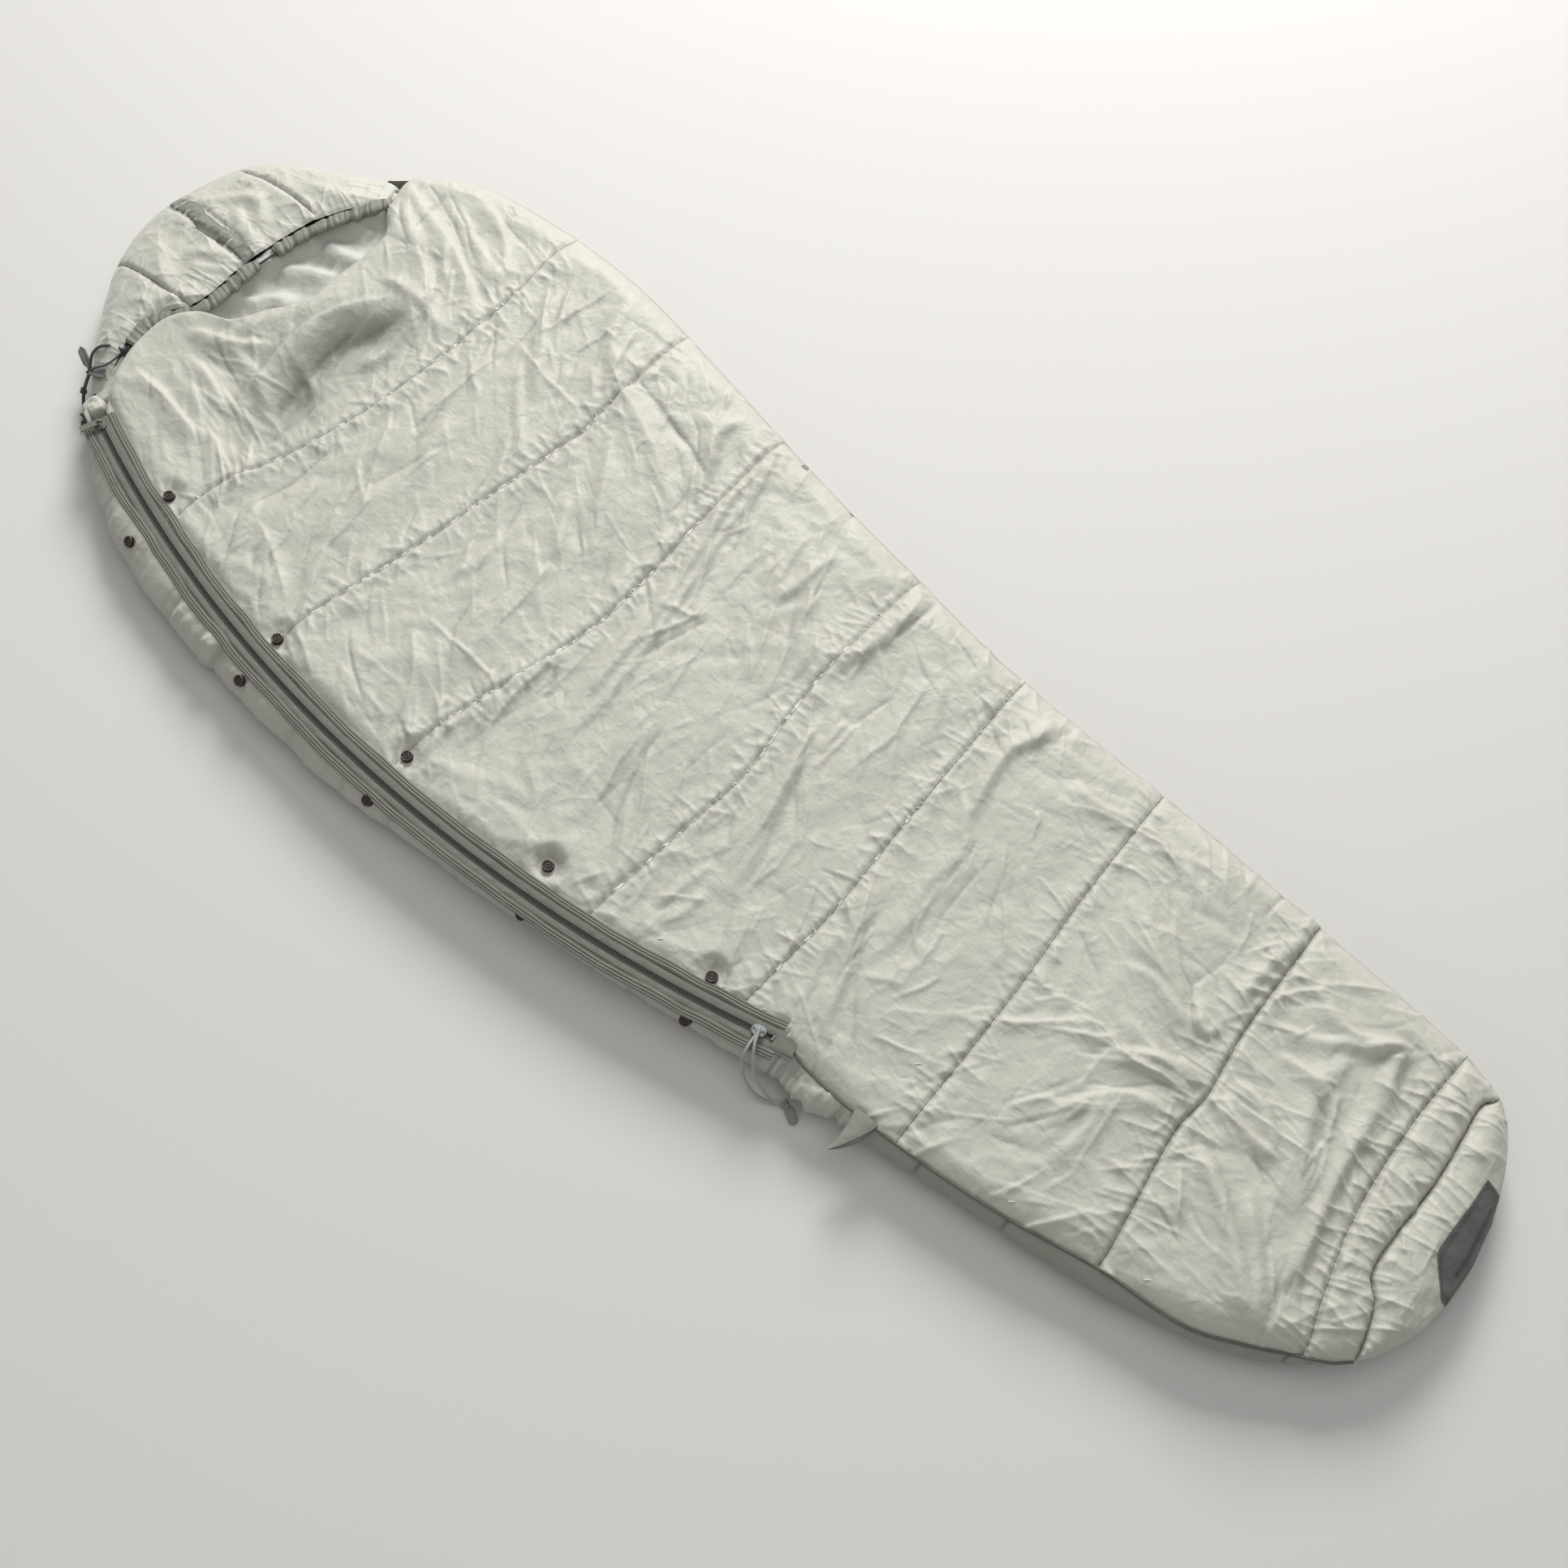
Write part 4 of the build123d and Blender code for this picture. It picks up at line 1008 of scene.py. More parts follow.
def tube(line, radius, sides=10, flat=1.0, level=False):
    """Points and faces of a tube along a line, closed at its ends; flat squeezes its height."""
    line = np.asarray(line, float)
    n = len(line)
    r = np.broadcast_to(radius, (n,)).astype(float)
    ahead = np.gradient(line, axis=0)
    ahead /= np.linalg.norm(ahead, axis=1)[:, None]
    s = np.cross(ahead[0], (0.1, 0.2, 1))
    side = np.zeros_like(line)
    for k in range(n):
        if level:
            s = np.cross(ahead[k], (0, 0, 1))
        s = s - (s @ ahead[k]) * ahead[k]
        s /= np.linalg.norm(s)
        side[k] = s
    top_way = np.cross(side, ahead)
    angle = np.linspace(0, 2 * math.pi, sides, endpoint=False)
    ring_points = (line[:, None] + r[:, None, None] * (np.cos(angle)[None, :, None] * side[:, None]
                                                       + flat * np.sin(angle)[None, :, None] * top_way[:, None]))
    faces = [tuple(f) for f in grid_faces(n, sides, closed=True)]
    faces += [tuple(range(sides))[::-1], tuple(range((n - 1) * sides, n * sides))]
    return ring_points.reshape(-1, 3), faces


def joined(parts):
    """One set of points and faces from several."""
    verts, faces, base = [], [], 0
    for v, f in parts:
        verts.append(np.asarray(v, float))
        faces += [tuple(int(i) + base for i in face) for face in f]
        base += len(v)
    return np.vstack(verts), faces


def on_track(x, offset):
    """Points beside the zipper: the place on its centre at x, moved outward by the offset."""
    angle = np.arcsin((np.asarray(x, float) - ZIP_CX) / ZIP_R)
    r = ZIP_R + offset
    return np.stack([ZIP_CX + r * np.sin(angle), ZIP_CY - r * np.cos(angle)], axis=-1)


def track_strip(name, profile, material, start=ZIP_HEAD_X, stop=ZIP_FOOT_X, step=2.6, sway=0.0, rise=0.0, seed=0):
    """A strip that follows the zipper; profile is (offset from its centre, height, painted shade) across it."""
    xs = np.linspace(start, stop, int((stop - start) / step))
    fade = np.clip(np.minimum(xs - start, stop - xs) / 40, 0, 1)
    rows_of = []
    for offset, z, _ in profile:
        shift = sway * fade * noise(xs, xs * 0 + offset * 0.3, 60, seed, 2)
        place = on_track(xs, offset + shift)
        height = z + rise * noise(xs, xs * 0 + offset * 2, 16, seed + 5, 2)
        rows_of.append(np.column_stack([place, height]))
    verts = np.vstack(rows_of)
    obj = mesh_object(name, verts, grid_faces(len(profile), len(xs)), material)
    set_uv(obj, np.column_stack([np.tile(xs, len(profile)), np.repeat([p[0] for p in profile], len(xs))]))
    set_shade_and_soil(obj, np.repeat([p[2] for p in profile], len(xs)))
    return obj


def box_between(a, b, wide, high):
    """A small block from one point to another, as one stitch lies."""
    a, b = np.asarray(a, float), np.asarray(b, float)
    along = (b - a) / np.linalg.norm(b - a)
    side = np.cross(along, (0, 0, 1))
    side /= np.linalg.norm(side)
    lift = np.cross(side, along) * high
    w = side * wide / 2
    verts = [a - w, a + w, b + w, b - w]
    verts += [a - w * 0.5 + lift, a + w * 0.5 + lift, b + w * 0.5 + lift, b - w * 0.5 + lift]
    return verts, [(3, 2, 1, 0), (4, 5, 6, 7), (0, 1, 5, 4), (1, 2, 6, 5), (2, 3, 7, 6), (3, 0, 4, 7)]


def surface_of(obj):
    mesh = obj.data
    return BVHTree.FromPolygons([v.co / MM for v in mesh.vertices], [p.vertices for p in mesh.polygons])


def drop(tree, x, y, default=60.0):
    hit = tree.ray_cast(Vector((x, y, 200)), Vector((0, 0, -1)))[0]
    return hit.z if hit else default


def stitch_line(tree, line, pitch, length, wide=0.8, high=0.5, jitter=0.3, seed=1, lift=0.1):
    """Stitches in a row along a plan line, lying on a surface."""
    local = np.random.default_rng(seed)
    total = np.linalg.norm(np.diff(np.asarray(line, float), axis=0), axis=1).sum()
    path = smooth(line, max(8, int(total / pitch)))
    out = []
    for a, b in zip(path, path[1:]):
        way = (b - a) / np.linalg.norm(b - a)
        mid = (a + b) / 2 + local.normal(0, jitter, 2)
        p, q = mid - way * length / 2, mid + way * length / 2
        zp, zq = drop(tree, *p, None), drop(tree, *q, None)
        if zp and zq and abs(zp - zq) < 2.5:
            out.append(box_between((*p, zp + lift), (*q, zq + lift), wide, high))
    return out


def knot(middle, size, thread, turn=0.0, sides=8):
    """A tight overhand knot: a thread wound round itself in a trefoil."""
    t = np.linspace(0, 2 * math.pi, 60)
    x = np.sin(t) + 2 * np.sin(2 * t)
    y = np.cos(t) - 2 * np.cos(2 * t)
    z = -np.sin(3 * t)
    k = (size - thread) / 3.0
    line = np.stack([x * k, y * k, z * k * 1.5], axis=1)
    c, s = math.cos(turn), math.sin(turn)
    line = line @ np.array([[c, s, 0], [-s, c, 0], [0, 0, 1]]).T
    return tube(line + middle, thread, sides)


def route_curve(name, route, diameter, material, body):
    """A cord on one smooth spline, with its route's points as control points, in millimetres."""
    data = bpy.data.curves.new(name, "CURVE")
    data.dimensions = "3D"
    data.bevel_depth = diameter / 2 * MM
    data.bevel_resolution = 4
    data.resolution_u = 16
    data.use_fill_caps = True
    spline = data.splines.new("NURBS")
    spline.points.add(len(route) - 1)
    for point, place in zip(spline.points, route):
        point.co = (*[v * MM for v in place], 1)
    spline.order_u = 3
    spline.use_endpoint_u = True
    data.materials.append(material)
    obj = bpy.data.objects.new(name, data)
    bpy.context.scene.collection.objects.link(obj)
    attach(obj, body)
    return obj


def braided(name, colour, light, turns, roughness=0.6):
    """Braided cord: two sets of strands that cross, painted paler where they rise as a highlight on the strands."""
    material, nodes, links, shader = node_material(name)
    coords = nodes.new("ShaderNodeTexCoord")
    split = nodes.new("ShaderNodeSeparateXYZ")
    links.new(coords.outputs["UV"], split.inputs[0])
    along = math_node(nodes, links, "MULTIPLY", split.outputs["X"], turns * 2 * math.pi)
    around = math_node(nodes, links, "MULTIPLY", split.outputs["Y"], 8 * math.pi)
    one = math_node(nodes, links, "SINE", math_node(nodes, links, "ADD", along, around))
    two = math_node(nodes, links, "SINE", math_node(nodes, links, "SUBTRACT", along, around))
    strands = math_node(nodes, links, "MULTIPLY", one, two)
    spots = noise_node(nodes, links, coords.outputs["Object"], 260.0, 3.0)
    # Painted highlight: the colour turns paler on the strands' crests.
    tone = mix_colour(nodes, links, ramp(nodes, links, strands, -0.5, 0.8), (*colour, 1), (*light, 1))
    tone = mix_colour(nodes, links, ramp(nodes, links, spots, 0.35, 0.75, 0, 0.35), tone,
                      (*[c * 0.5 for c in colour], 1))
    links.new(tone, shader.inputs["Base Color"])
    shader.inputs["Roughness"].default_value = roughness
    shader.inputs["Sheen Weight"].default_value = 0.3
    links.new(bump_node(nodes, links, strands, 0.8, 0.0005), shader.inputs["Normal"])
    return material


def give(node, material, bevel=0.0):
    """A better finish for a CAD node that stays, and softer edges."""
    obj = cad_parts[node]
    if not obj.material_slots:
        obj.data.materials.append(material)
    for place in obj.material_slots:
        place.material = material
    if bevel:
        edges = obj.modifiers.new("soft edges", "BEVEL")
        edges.width = bevel * MM
        edges.segments = 2
        edges.limit_method = "ANGLE"
        edges.angle_limit = math.radians(40)


top_tree, hood_tree, foot_tree = (surface_of(o) for o in (top, hood, foot))

# ---- Zipper ----

def binding_drop(o, way):
    """How far the binding on the near side slopes down, away from the zipper."""
    return 0.16 * max(0, o - 15) if way > 0 else 0.0


# Across each tape: distance from the zipper's centre, height and painted shade, darkest at the edges that tuck under.
TAPE_PROFILE = ((2.6, 58.7, 0.7), (3.6, 59.0, 0.5), (4.6, 59.2, 0.1), (8, 59.3, 0), (11.5, 59.3, 0.1),
                (12.2, 59.1, 0.7), (13.4, 58.6, 0.9))
for level, way in (("upper", -1), ("lower", 1)):
    tape = track_strip("zipper_tape_" + level + "_cloth", [(way * o, z, d) for o, z, d in TAPE_PROFILE],
                       tape_cloth, rise=0.15, seed=3)
    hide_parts("zipper_tape_" + level, *(["draft_tube"] if way < 0 else []))
    ridges = []
    # Painted shade in the binding's stitched grooves and at its edges.
    for o in np.arange(BINDING_IN, BINDING_OUT + 0.2, 0.55):
        groove = max(math.exp(-(((o - g) / 0.8) ** 2)) for g in BINDING_ROWS)
        edge = sum(math.exp(-(((o - e) / 0.7) ** 2)) for e in (BINDING_IN, BINDING_OUT))
        ridges.append((way * o, 60.7 - 1.1 * groove - 1.5 * min(edge, 1) - binding_drop(o, way),
                       min(1, 0.75 * groove + 0.6 * edge)))
    binding = track_strip("zipper_binding_" + level + "_cloth", ridges, binding_cloth, stop=390, sway=1.6, rise=0.3,
                          seed=8)
    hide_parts("zipper_binding_" + level)
    teeth = []
    for x in np.arange(ZIP_HEAD_X + 1, ZIP_FOOT_X - 2, TEETH_PITCH) + (TEETH_PITCH / 2 if way > 0 else 0):
        apart = 0.14 * max(0, x - 371) + 0.14 * max(0, -844 - x)
        inner, outer = on_track(x, way * (-0.6 + apart)), on_track(x, way * (3.0 + apart))
        teeth.append(box_between((*inner, TEETH_Z), (*outer, TEETH_Z), 1.35, 1.5))
    rail_x = np.linspace(ZIP_HEAD_X, ZIP_FOOT_X, 400)
    rail = np.column_stack([on_track(rail_x, way * 3.0), np.full(400, RAIL_Z)])
    teeth.append(tube(rail, 0.75, 8))
    coil = mesh_object("zipper_teeth_" + level, *joined(teeth), coil_nylon, smooth_shade=False)
    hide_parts("zipper_coil_" + level)

# Painted shade in the end patch's grooves.
end_patch = track_strip("zipper_end_cloth",
                        [(o, 60.2 - 1.2 * (abs(o) > 13.4) - 0.5 * (11 < abs(o) < 12.6), 0.6 * (11 < abs(o) < 12.6))
                         for o in (-14.6, -13.6, -12, -10.6, -6, 0, 6, 10.6, 12, 13.6, 14.6)],
                        tape_cloth, start=ZIP_FOOT_X, stop=409, step=1.5, rise=0.25, seed=6)
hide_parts("zipper_end_patch")
give("zipper_bottom_stop", plain("stop_metal", (0.035, 0.036, 0.034), 0.55, 0.2, 0.3), 0.2)

# ---- Lining inside the face opening ----

LINING_FOLDS = [
    ([(-886, 60), (-866, 84), (-842, 100), (-812, 110)], 12, 19),
    ([(-886, 0), (-866, 12), (-846, 34), (-820, 52)], 11, 17),
    ([(-880, 142), (-858, 150), (-834, 150), (-808, 160)], 11, 18),
    ([(-876, 196), (-856, 202), (-832, 204)], 8, 15),
    ([(-870, 118), (-852, 122), (-830, 128)], -6, 12),
]
lining_cols, lining_rows = 150, 46
edge = smooth([(-898, -237)] + HOOD_EDGE + [(-888, 286)], lining_cols)
neck_of = across(NECK)
u = np.linspace(0, 1, lining_rows)[:, None]
reach_x = np.maximum(neck_of(edge[:, 1]) + 26, edge[:, 0] + 34)
lx = edge[:, 0] * (1 - u) + reach_x * u
ly = edge[:, 1] * np.ones_like(u)
from_edge = lx - edge[:, 0]
lip = 17 + 5 * noise(ly, ly * 0, 26, 41, 2)
rim_sink = np.interp(ly, (-237, -190, -152, -136, 246, 286), (17, 9, 8, 0, 0, 17))
lz = (61.5 - rim_sink - 3.0 * np.clip(from_edge / lip, 0, 1) ** 2
      - 21 * (1 - np.exp(-np.maximum(from_edge - lip, 0) / 5.0)))
for line, height, width in LINING_FOLDS:
    lz += fold(lx, ly, line, height, width, steep=0.8) * np.clip((from_edge - lip) / 14 + 0.25, 0, 1)
lz += noise(lx, ly, 20, 45, 3) * 1.6 * np.clip(from_edge / 12, 0, 1)
lz += noise(lx * 0.2, ly, 7, 46, 2) * 1.2 * np.exp(-from_edge / 14)
lining = mesh_object("opening_lining", np.stack([lx, ly, lz], axis=-1).reshape(-1, 3),
                     grid_faces(lining_rows, lining_cols)[:, ::-1], lining_cloth, parent_ride=False)
set_uv(lining, np.stack([lx, ly], axis=-1).reshape(-1, 2))
subdivide(lining)
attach(lining, "bag")

# A tuft of shell cloth fills each corner between the hood, the quilt and the side band.
corners = []
for cx, cy, rx, ry, rise in ((-885, -249, 20, 19, 36), (-872, 270, 22, 14, 32)):
    rho, turn = np.linspace(0, 1, 14)[:, None], np.linspace(0, 2 * math.pi, 40, endpoint=False)[None, :]
    px, py = cx + rx * rho * np.cos(turn), cy + ry * rho * np.sin(turn)
    pz = 14 + rise * np.sqrt(np.clip(1 - rho**5, 0, 1)) + 0 * turn + noise(px, py, 11, 47, 3) * 2.4
    corners.append((np.stack([px, py, pz], axis=-1).reshape(-1, 3), grid_faces(14, 40, closed=True)))
neck_corners = mesh_object("neck_corner_cloth", *joined(corners), shell_cloth)

# ---- Hood: gathered drawcord channel, centre tape ----

CHANNEL_ROUTE = [(-856, 236, 60), (-888, 140, 62), (-895, 40, 65), (-890, -50, 66), (-922, -110, 65),
                 (-912, -158, 64)]
route = smooth([(-850, 250, 59)] + CHANNEL_ROUTE, 460)
route[:, 2] = np.minimum(route[:, 2], 64)
split_low, split_high = 52.0, 80.0
sleeves, sleeve_shade = [], []
for keep in (route[:, 1] > split_high, route[:, 1] < split_low):
    line = route[keep]
    along = run_of(line)
    angles = np.linspace(0, 2 * math.pi, 20, endpoint=False)
    ahead = np.gradient(line, axis=0)
    ahead /= np.linalg.norm(ahead, axis=1)[:, None]
    side = np.cross(ahead, (0, 0, 1))
    side /= np.linalg.norm(side, axis=1)[:, None]
    s = along[:, None]
    a = angles[None, :]
    ruffle = noise(s + 3.5 * np.cos(a), 3 * np.sin(a) + 0 * s, 6, 71, 3)
    wide = 10.5 + 1.5 * ruffle + 1.0 * noise(s + 0 * a, 0 * s + 0 * a, 35, 73, 1)
    high = 5.6 + 1.6 * ruffle
    seam = 1 - 0.16 * np.exp(-(((np.abs(a - math.pi / 2)) / 0.25) ** 2))
    closing = np.clip(np.minimum(s, along[-1] - s) / 3.0, 0.75, 1)
    verts = (line[:, None] + (np.cos(a) * wide * closing)[..., None] * side[:, None]
             + (np.sin(a) * high * seam * closing)[..., None] * np.array([0, 0, 1.0]))
    sleeves.append((verts.reshape(-1, 3), grid_faces(len(line), 20, closed=True)))
    # Painted shade in the sunken folds of the gathered channel.
    sleeve_shade.append(np.clip(-ruffle * 1.3 - 0.25, 0, 0.7).ravel())
channel_cloth = fabric("channel_cloth", (0.215, 0.215, 0.185), roughness=0.6, sheen=0.3, use_uv=False)
channel = mesh_object("hood_channel_sleeve", *joined(sleeves), channel_cloth)
set_shade_and_soil(channel, np.concatenate(sleeve_shade))
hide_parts("hood_drawcord_channel")

tape_x = np.linspace(-1078, -908, 130)
strip_v = np.linspace(-1, 1, 13)
verts = []
for x in tape_x:
    centre = 47 + 2.5 * math.sin(x / 19) + float(noise(np.array([x]), np.array([0.0]), 24, 81, 1)[0]) * 2
    half = 12.0 + float(noise(np.array([x]), np.array([9.0]), 13, 83, 2)[0]) * 1.6
    for v in strip_v:
        y = centre + half * v
        pucker = 1.7 * float(noise(np.array([x]), np.array([y * 0.3]), 6, 85, 3)[0])
        z = drop(hood_tree, x, y, 45) + 1.3 + pucker * (1 - v * v * 0.5) - 0.7 * (abs(v) > 0.95)
        verts.append((x, y, z))
centre_tape = mesh_object("hood_tape_strip", verts, grid_faces(len(tape_x), len(strip_v)), channel_cloth)
set_shade_and_soil(centre_tape, [0.55 * (0.70 < abs(v) < 0.9) + 0.5 * (abs(v) > 0.95) for _ in tape_x for v in strip_v])
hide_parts("hood_center_tape")

# ---- Stitches and loose threads ----

light_rows, dark_rows = [], []
for k, line in enumerate(SEAMS):
    rows_for = light_rows if k < 4 else dark_rows
    rows_for += stitch_line(top_tree, line, 4.2 if k != 6 else 3.4, 3.1, 0.7 if k < 4 else 1.2, 0.5, 0.3, seed=k)
dark_rows += stitch_line(top_tree, FOOT_EDGE[1:-1], 3.4, 3.2, 1.3, 0.6, 0.35, seed=20)
for line, seed in (([(-1046, 149), (-1035, 150), (-970, 160), (-906, 161)], 21),
                   ([(-1060, -82), (-1035, -75), (-960, -68), (-900, -60)], 22)):
    dark_rows += stitch_line(hood_tree, line, 3.2, 2.8, 1.1, 0.6, 0.3, seed=seed)
for o in BINDING_ROWS:
    for way in (-1, 1):
        for x in np.arange(-846, ZIP_FOOT_X, 4.4):
            a, b = on_track(x, way * o), on_track(x + 3.0, way * o)
            height = 59.8 - binding_drop(o, way)
            dark_rows.append(box_between((*a, height), (*b, height), 0.8, 0.45))
pale_thread = plain("seam_thread_pale", (0.30, 0.305, 0.27), 0.6)
mesh_object("stitches_pale", *joined(light_rows), pale_thread, smooth_shade=False)
mesh_object("stitches_dark", *joined(dark_rows), thread_dark, smooth_shade=False)

local = np.random.default_rng(61)
bits = []
white_rows = []
for k, line in enumerate(SEAMS[:5]):
    path = smooth([p for p in line if -300 < p[1] < 300], 90)
    for at in range(88):
        if local.random() < (0.12, 0.28, 0.34, 0.2, 0.12)[k]:
            white_rows += stitch_line(top_tree, [path[at], (path[at] + path[at + 1]) / 2, path[at + 1]], 3.4, 3.0,
                                      local.uniform(0.9, 1.5), 0.7, 0.5, seed=at + 100 * k)
    curve = across(line)
    for y in local.uniform(-290, 260, 13):
        x = float(curve(y))
        heading = local.uniform(0, 2 * math.pi)
        size = local.uniform(1.6, 4.5)
        bend = local.uniform(-1.5, 1.5)
        middle = []
        for t in np.linspace(-1, 1, 6):
            angle = heading + bend * t
            px_, py_ = x + size * t * math.cos(angle), y + size * t * math.sin(angle)
            middle.append((px_, py_, drop(top_tree, px_, py_) + 0.6 + 0.5 * (1 - t * t)))
        bits.append(tube(middle, local.uniform(0.35, 0.6), 6))
for x, y in ((690, -225), (845, -190), (300, -262), (352, -250), (210, -270), (520, -180)):
    middle = [(x + 3 * t, y + 2 * math.sin(2 * t), drop(top_tree, x + 3 * t, y + 2 * math.sin(2 * t)) + 0.7)
              for t in np.linspace(-1, 1, 6)]
    bits.append(tube(middle, 0.45, 6))
mesh_object("thread_bits", *joined(bits + white_rows), thread_white, smooth_shade=False)

# ---- Sewn edges: side seam, tabs, foot patch ----

path = smooth(SIDE_SEAM[1:], 330)
path_3d = []
for x, y in path:
    z = max(drop(top_tree, x, y + 2, 0), float(np.interp(x, *NEAR_RIM)) - 1)
    path_3d.append((x, y - 0.5, min(z + 0.2, 62)))
path_3d = np.array(path_3d)
path_3d[:, 2] = np.convolve(np.pad(path_3d[:, 2], 4, mode="edge"), np.ones(9) / 9, mode="valid")
seam_cord = plain("seam_edge", (0.11, 0.112, 0.092), 0.65)
piping = mesh_object("side_seam_edge", *tube(path_3d, 1.5, 8), seam_cord)
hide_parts("side_seam_piping")


def arc_through(start, pull_to, end, t):
    """A point on a bow from start to end, drawn towards a third point."""
    start, pull_to, end = (np.array(p, float) for p in (start, pull_to, end))
    return start * (1 - t) ** 2 + 2 * pull_to * t * (1 - t) + end * t * t


TAB_LEFT = ((501, -262), (511, -288), (507, -314))
TAB_RIGHT = ((533, -260), (533, -292), (509, -315.5))
tab_rows, tab_cols = 24, 14
tab_points = []
for layer, gap in ((0, 0.0), (1, 3.2)):
    for i in range(tab_rows):
        t = i / (tab_rows - 1)
        left = arc_through(*TAB_LEFT, t)
        right_side = arc_through(*TAB_RIGHT, t)
        for j in range(tab_cols):
            v = j / (tab_cols - 1)
            p = left * (1 - v) + right_side * v
            z = (61.0 - 9.0 * t**1.5 + 2.2 * math.sin(math.pi * v) * (1 - t * 0.5) + 1.6 * v * t
                 - gap * math.sin(math.pi * t) * v)
            tab_points.append((p[0], p[1], z - 0.8 * layer))
tab_faces = [tuple(f) for f in grid_faces(tab_rows, tab_cols)]
tab_faces += [tuple(int(i) + tab_rows * tab_cols for i in f[::-1]) for f in grid_faces(tab_rows, tab_cols)]
n = tab_rows * tab_cols
tab_faces += [(i * tab_cols, i * tab_cols + n, (i + 1) * tab_cols + n, (i + 1) * tab_cols)
              for i in range(tab_rows - 1)]
tab_cloth = fabric("tab_cloth", (0.26, 0.262, 0.228), roughness=0.5, sheen=0.3, use_uv=False)
tab = mesh_object("side_tab_cloth", tab_points, tab_faces, tab_cloth, parent_ride=False)
# Painted shade along the tab's open edge, where its two layers part.
set_shade_and_soil(tab, [1.0 * (j == tab_cols - 1) + 0.5 * (j == tab_cols - 3) for _ in range(2) for _ in range(tab_rows)
               for j in range(tab_cols)])
subdivide(tab)
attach(tab, "bag")
# A dark tube along the tab's open edge, painted in as the shade inside the slit.
slit = []
for t in np.linspace(0.06, 0.97, 16):
    place = arc_through(*TAB_RIGHT, t) + np.array([-3.2, 0.8]) * math.sin(math.pi * t)
    slit.append((*place, 61.4 - 9.0 * t**1.5 + 1.5 * t + 0.5 * math.sin(math.pi * t)))
mesh_object("side_tab_slit_shade", *tube(slit, 0.85, 8), seam_cord)
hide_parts("side_tab")
give("far_side_tab", binding_cloth)
patch_points = []
for j in range(26):
    y = 4 + 136 * j / 25
    start_x = 1050 + 34 * min(max((38 - y) / 34, 0), 1)
    edge_x = float(np.interp(y, [-40, 0, 60, 110, 150], [1086, 1093, 1092, 1083, 1070]))
    for i in range(14):
        t = i / 13
        x = start_x + (edge_x - 1.0 - start_x) * min(1, t / 0.62)
        z = max(drop(foot_tree, x, y, 44), 43) + 1.2 if t < 0.62 else 42 - 34 * (t - 0.62) / 0.38
        out = 0 if t < 0.62 else 2.2
        patch_points.append((x + out + 0.3, y, z - 0.9 * (i == 6)))
patch = mesh_object("foot_patch_cloth", patch_points, grid_faces(26, 14), patch_cloth)
set_shade_and_soil(patch, [0.6 * (i in (1, 12) or j in (1, 24)) + 0.9 * (i == 6 and 5 < j < 22)
                 for j in range(26) for i in range(14)])
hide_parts("foot_patch")

# ---- Cords ----

FREE_ROUTE = [(-912, -158, 64), (-906, -198, 64), (-923, -212, 59), (-936, -216, 45)]
TAPE_ROUTE = [(-925, -170, 60), (-936, -179, 66), (-945, -194, 62), (-943, -208, 52), (-938, -216, 42)]
TAIL_ROUTE = [(-938, -218, 40), (-941, -231, 25), (-937, -244, 12), (-925, -255, 4.5), (-909, -267, 3.2)]
# Along the zipper, outward from it, and up, from the slider's middle.
PULL_ROUTE = [(54, 51, 5.5), (43, 55, 4.5), (28, 57, 8), (13, 54, 19), (2, 46, 34), (-3, 38, 50), (-3, 29, 62.4),
              (-2, 18, 65.2), (0, 7, 64.5), (0, -3.2, 64.3), (0.6, -3.2, 70.4), (2, 8, 70.6), (4, 19, 68.5), (8, 30, 63),
              (12, 39, 50), (19, 46, 34), (31, 51, 19), (44, 54, 9), (56, 50, 6)]
LOWER_SLIDER_X = 365.0
slide_angle = math.asin((LOWER_SLIDER_X - ZIP_CX) / ZIP_R)
slide_way = np.array([math.cos(slide_angle), math.sin(slide_angle)])
slide_out = np.array([math.sin(slide_angle), -math.cos(slide_angle)])
slide_at = np.array([LOWER_SLIDER_X, float(track_y(LOWER_SLIDER_X))])
pull_route = [(*(slide_at + slide_way * a + slide_out * o), z) for a, o, z in PULL_ROUTE]

draw_braid = braided("draw_cord_braid", (0.045, 0.048, 0.042), (0.10, 0.105, 0.095), 40)
pull_braid = braided("pull_cord_braid", (0.36, 0.37, 0.335), (0.62, 0.63, 0.59), 85)
knot_dark = plain("draw_knot", (0.055, 0.058, 0.05), 0.7, bump_scale=900, bump_depth=0.0005)

free_cord, tape_loop, tail = [
    route_curve(name, route, thick, draw_braid, "bag")
    for name, route, thick in (("draw_cord_free", FREE_ROUTE, 3.0), ("draw_loop", TAPE_ROUTE, 4.0),
                               ("draw_tail", TAIL_ROUTE, 4.6))]
for piece, node in ((free_cord, "drawcord_free"), (tape_loop, "draw_tape_loop"), (tail, "draw_tape_tail")):
    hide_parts(node)
big_knot = mesh_object("draw_knot_wound", *knot((-938, -216, 41), 6.4, 2.0, 0.4), knot_dark)
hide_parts("draw_tape_knot")
small = [knot(p, 5.6, 1.8, t)
         for p, t in (((-940, -238, 18), 0.2), ((-918, -260, 5.0), 1.1), ((-906, -269, 5.0), 2.0))]
small_knots = mesh_object("draw_tail_knots", *joined(small), knot_dark)
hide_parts("draw_tape_tail_knots")

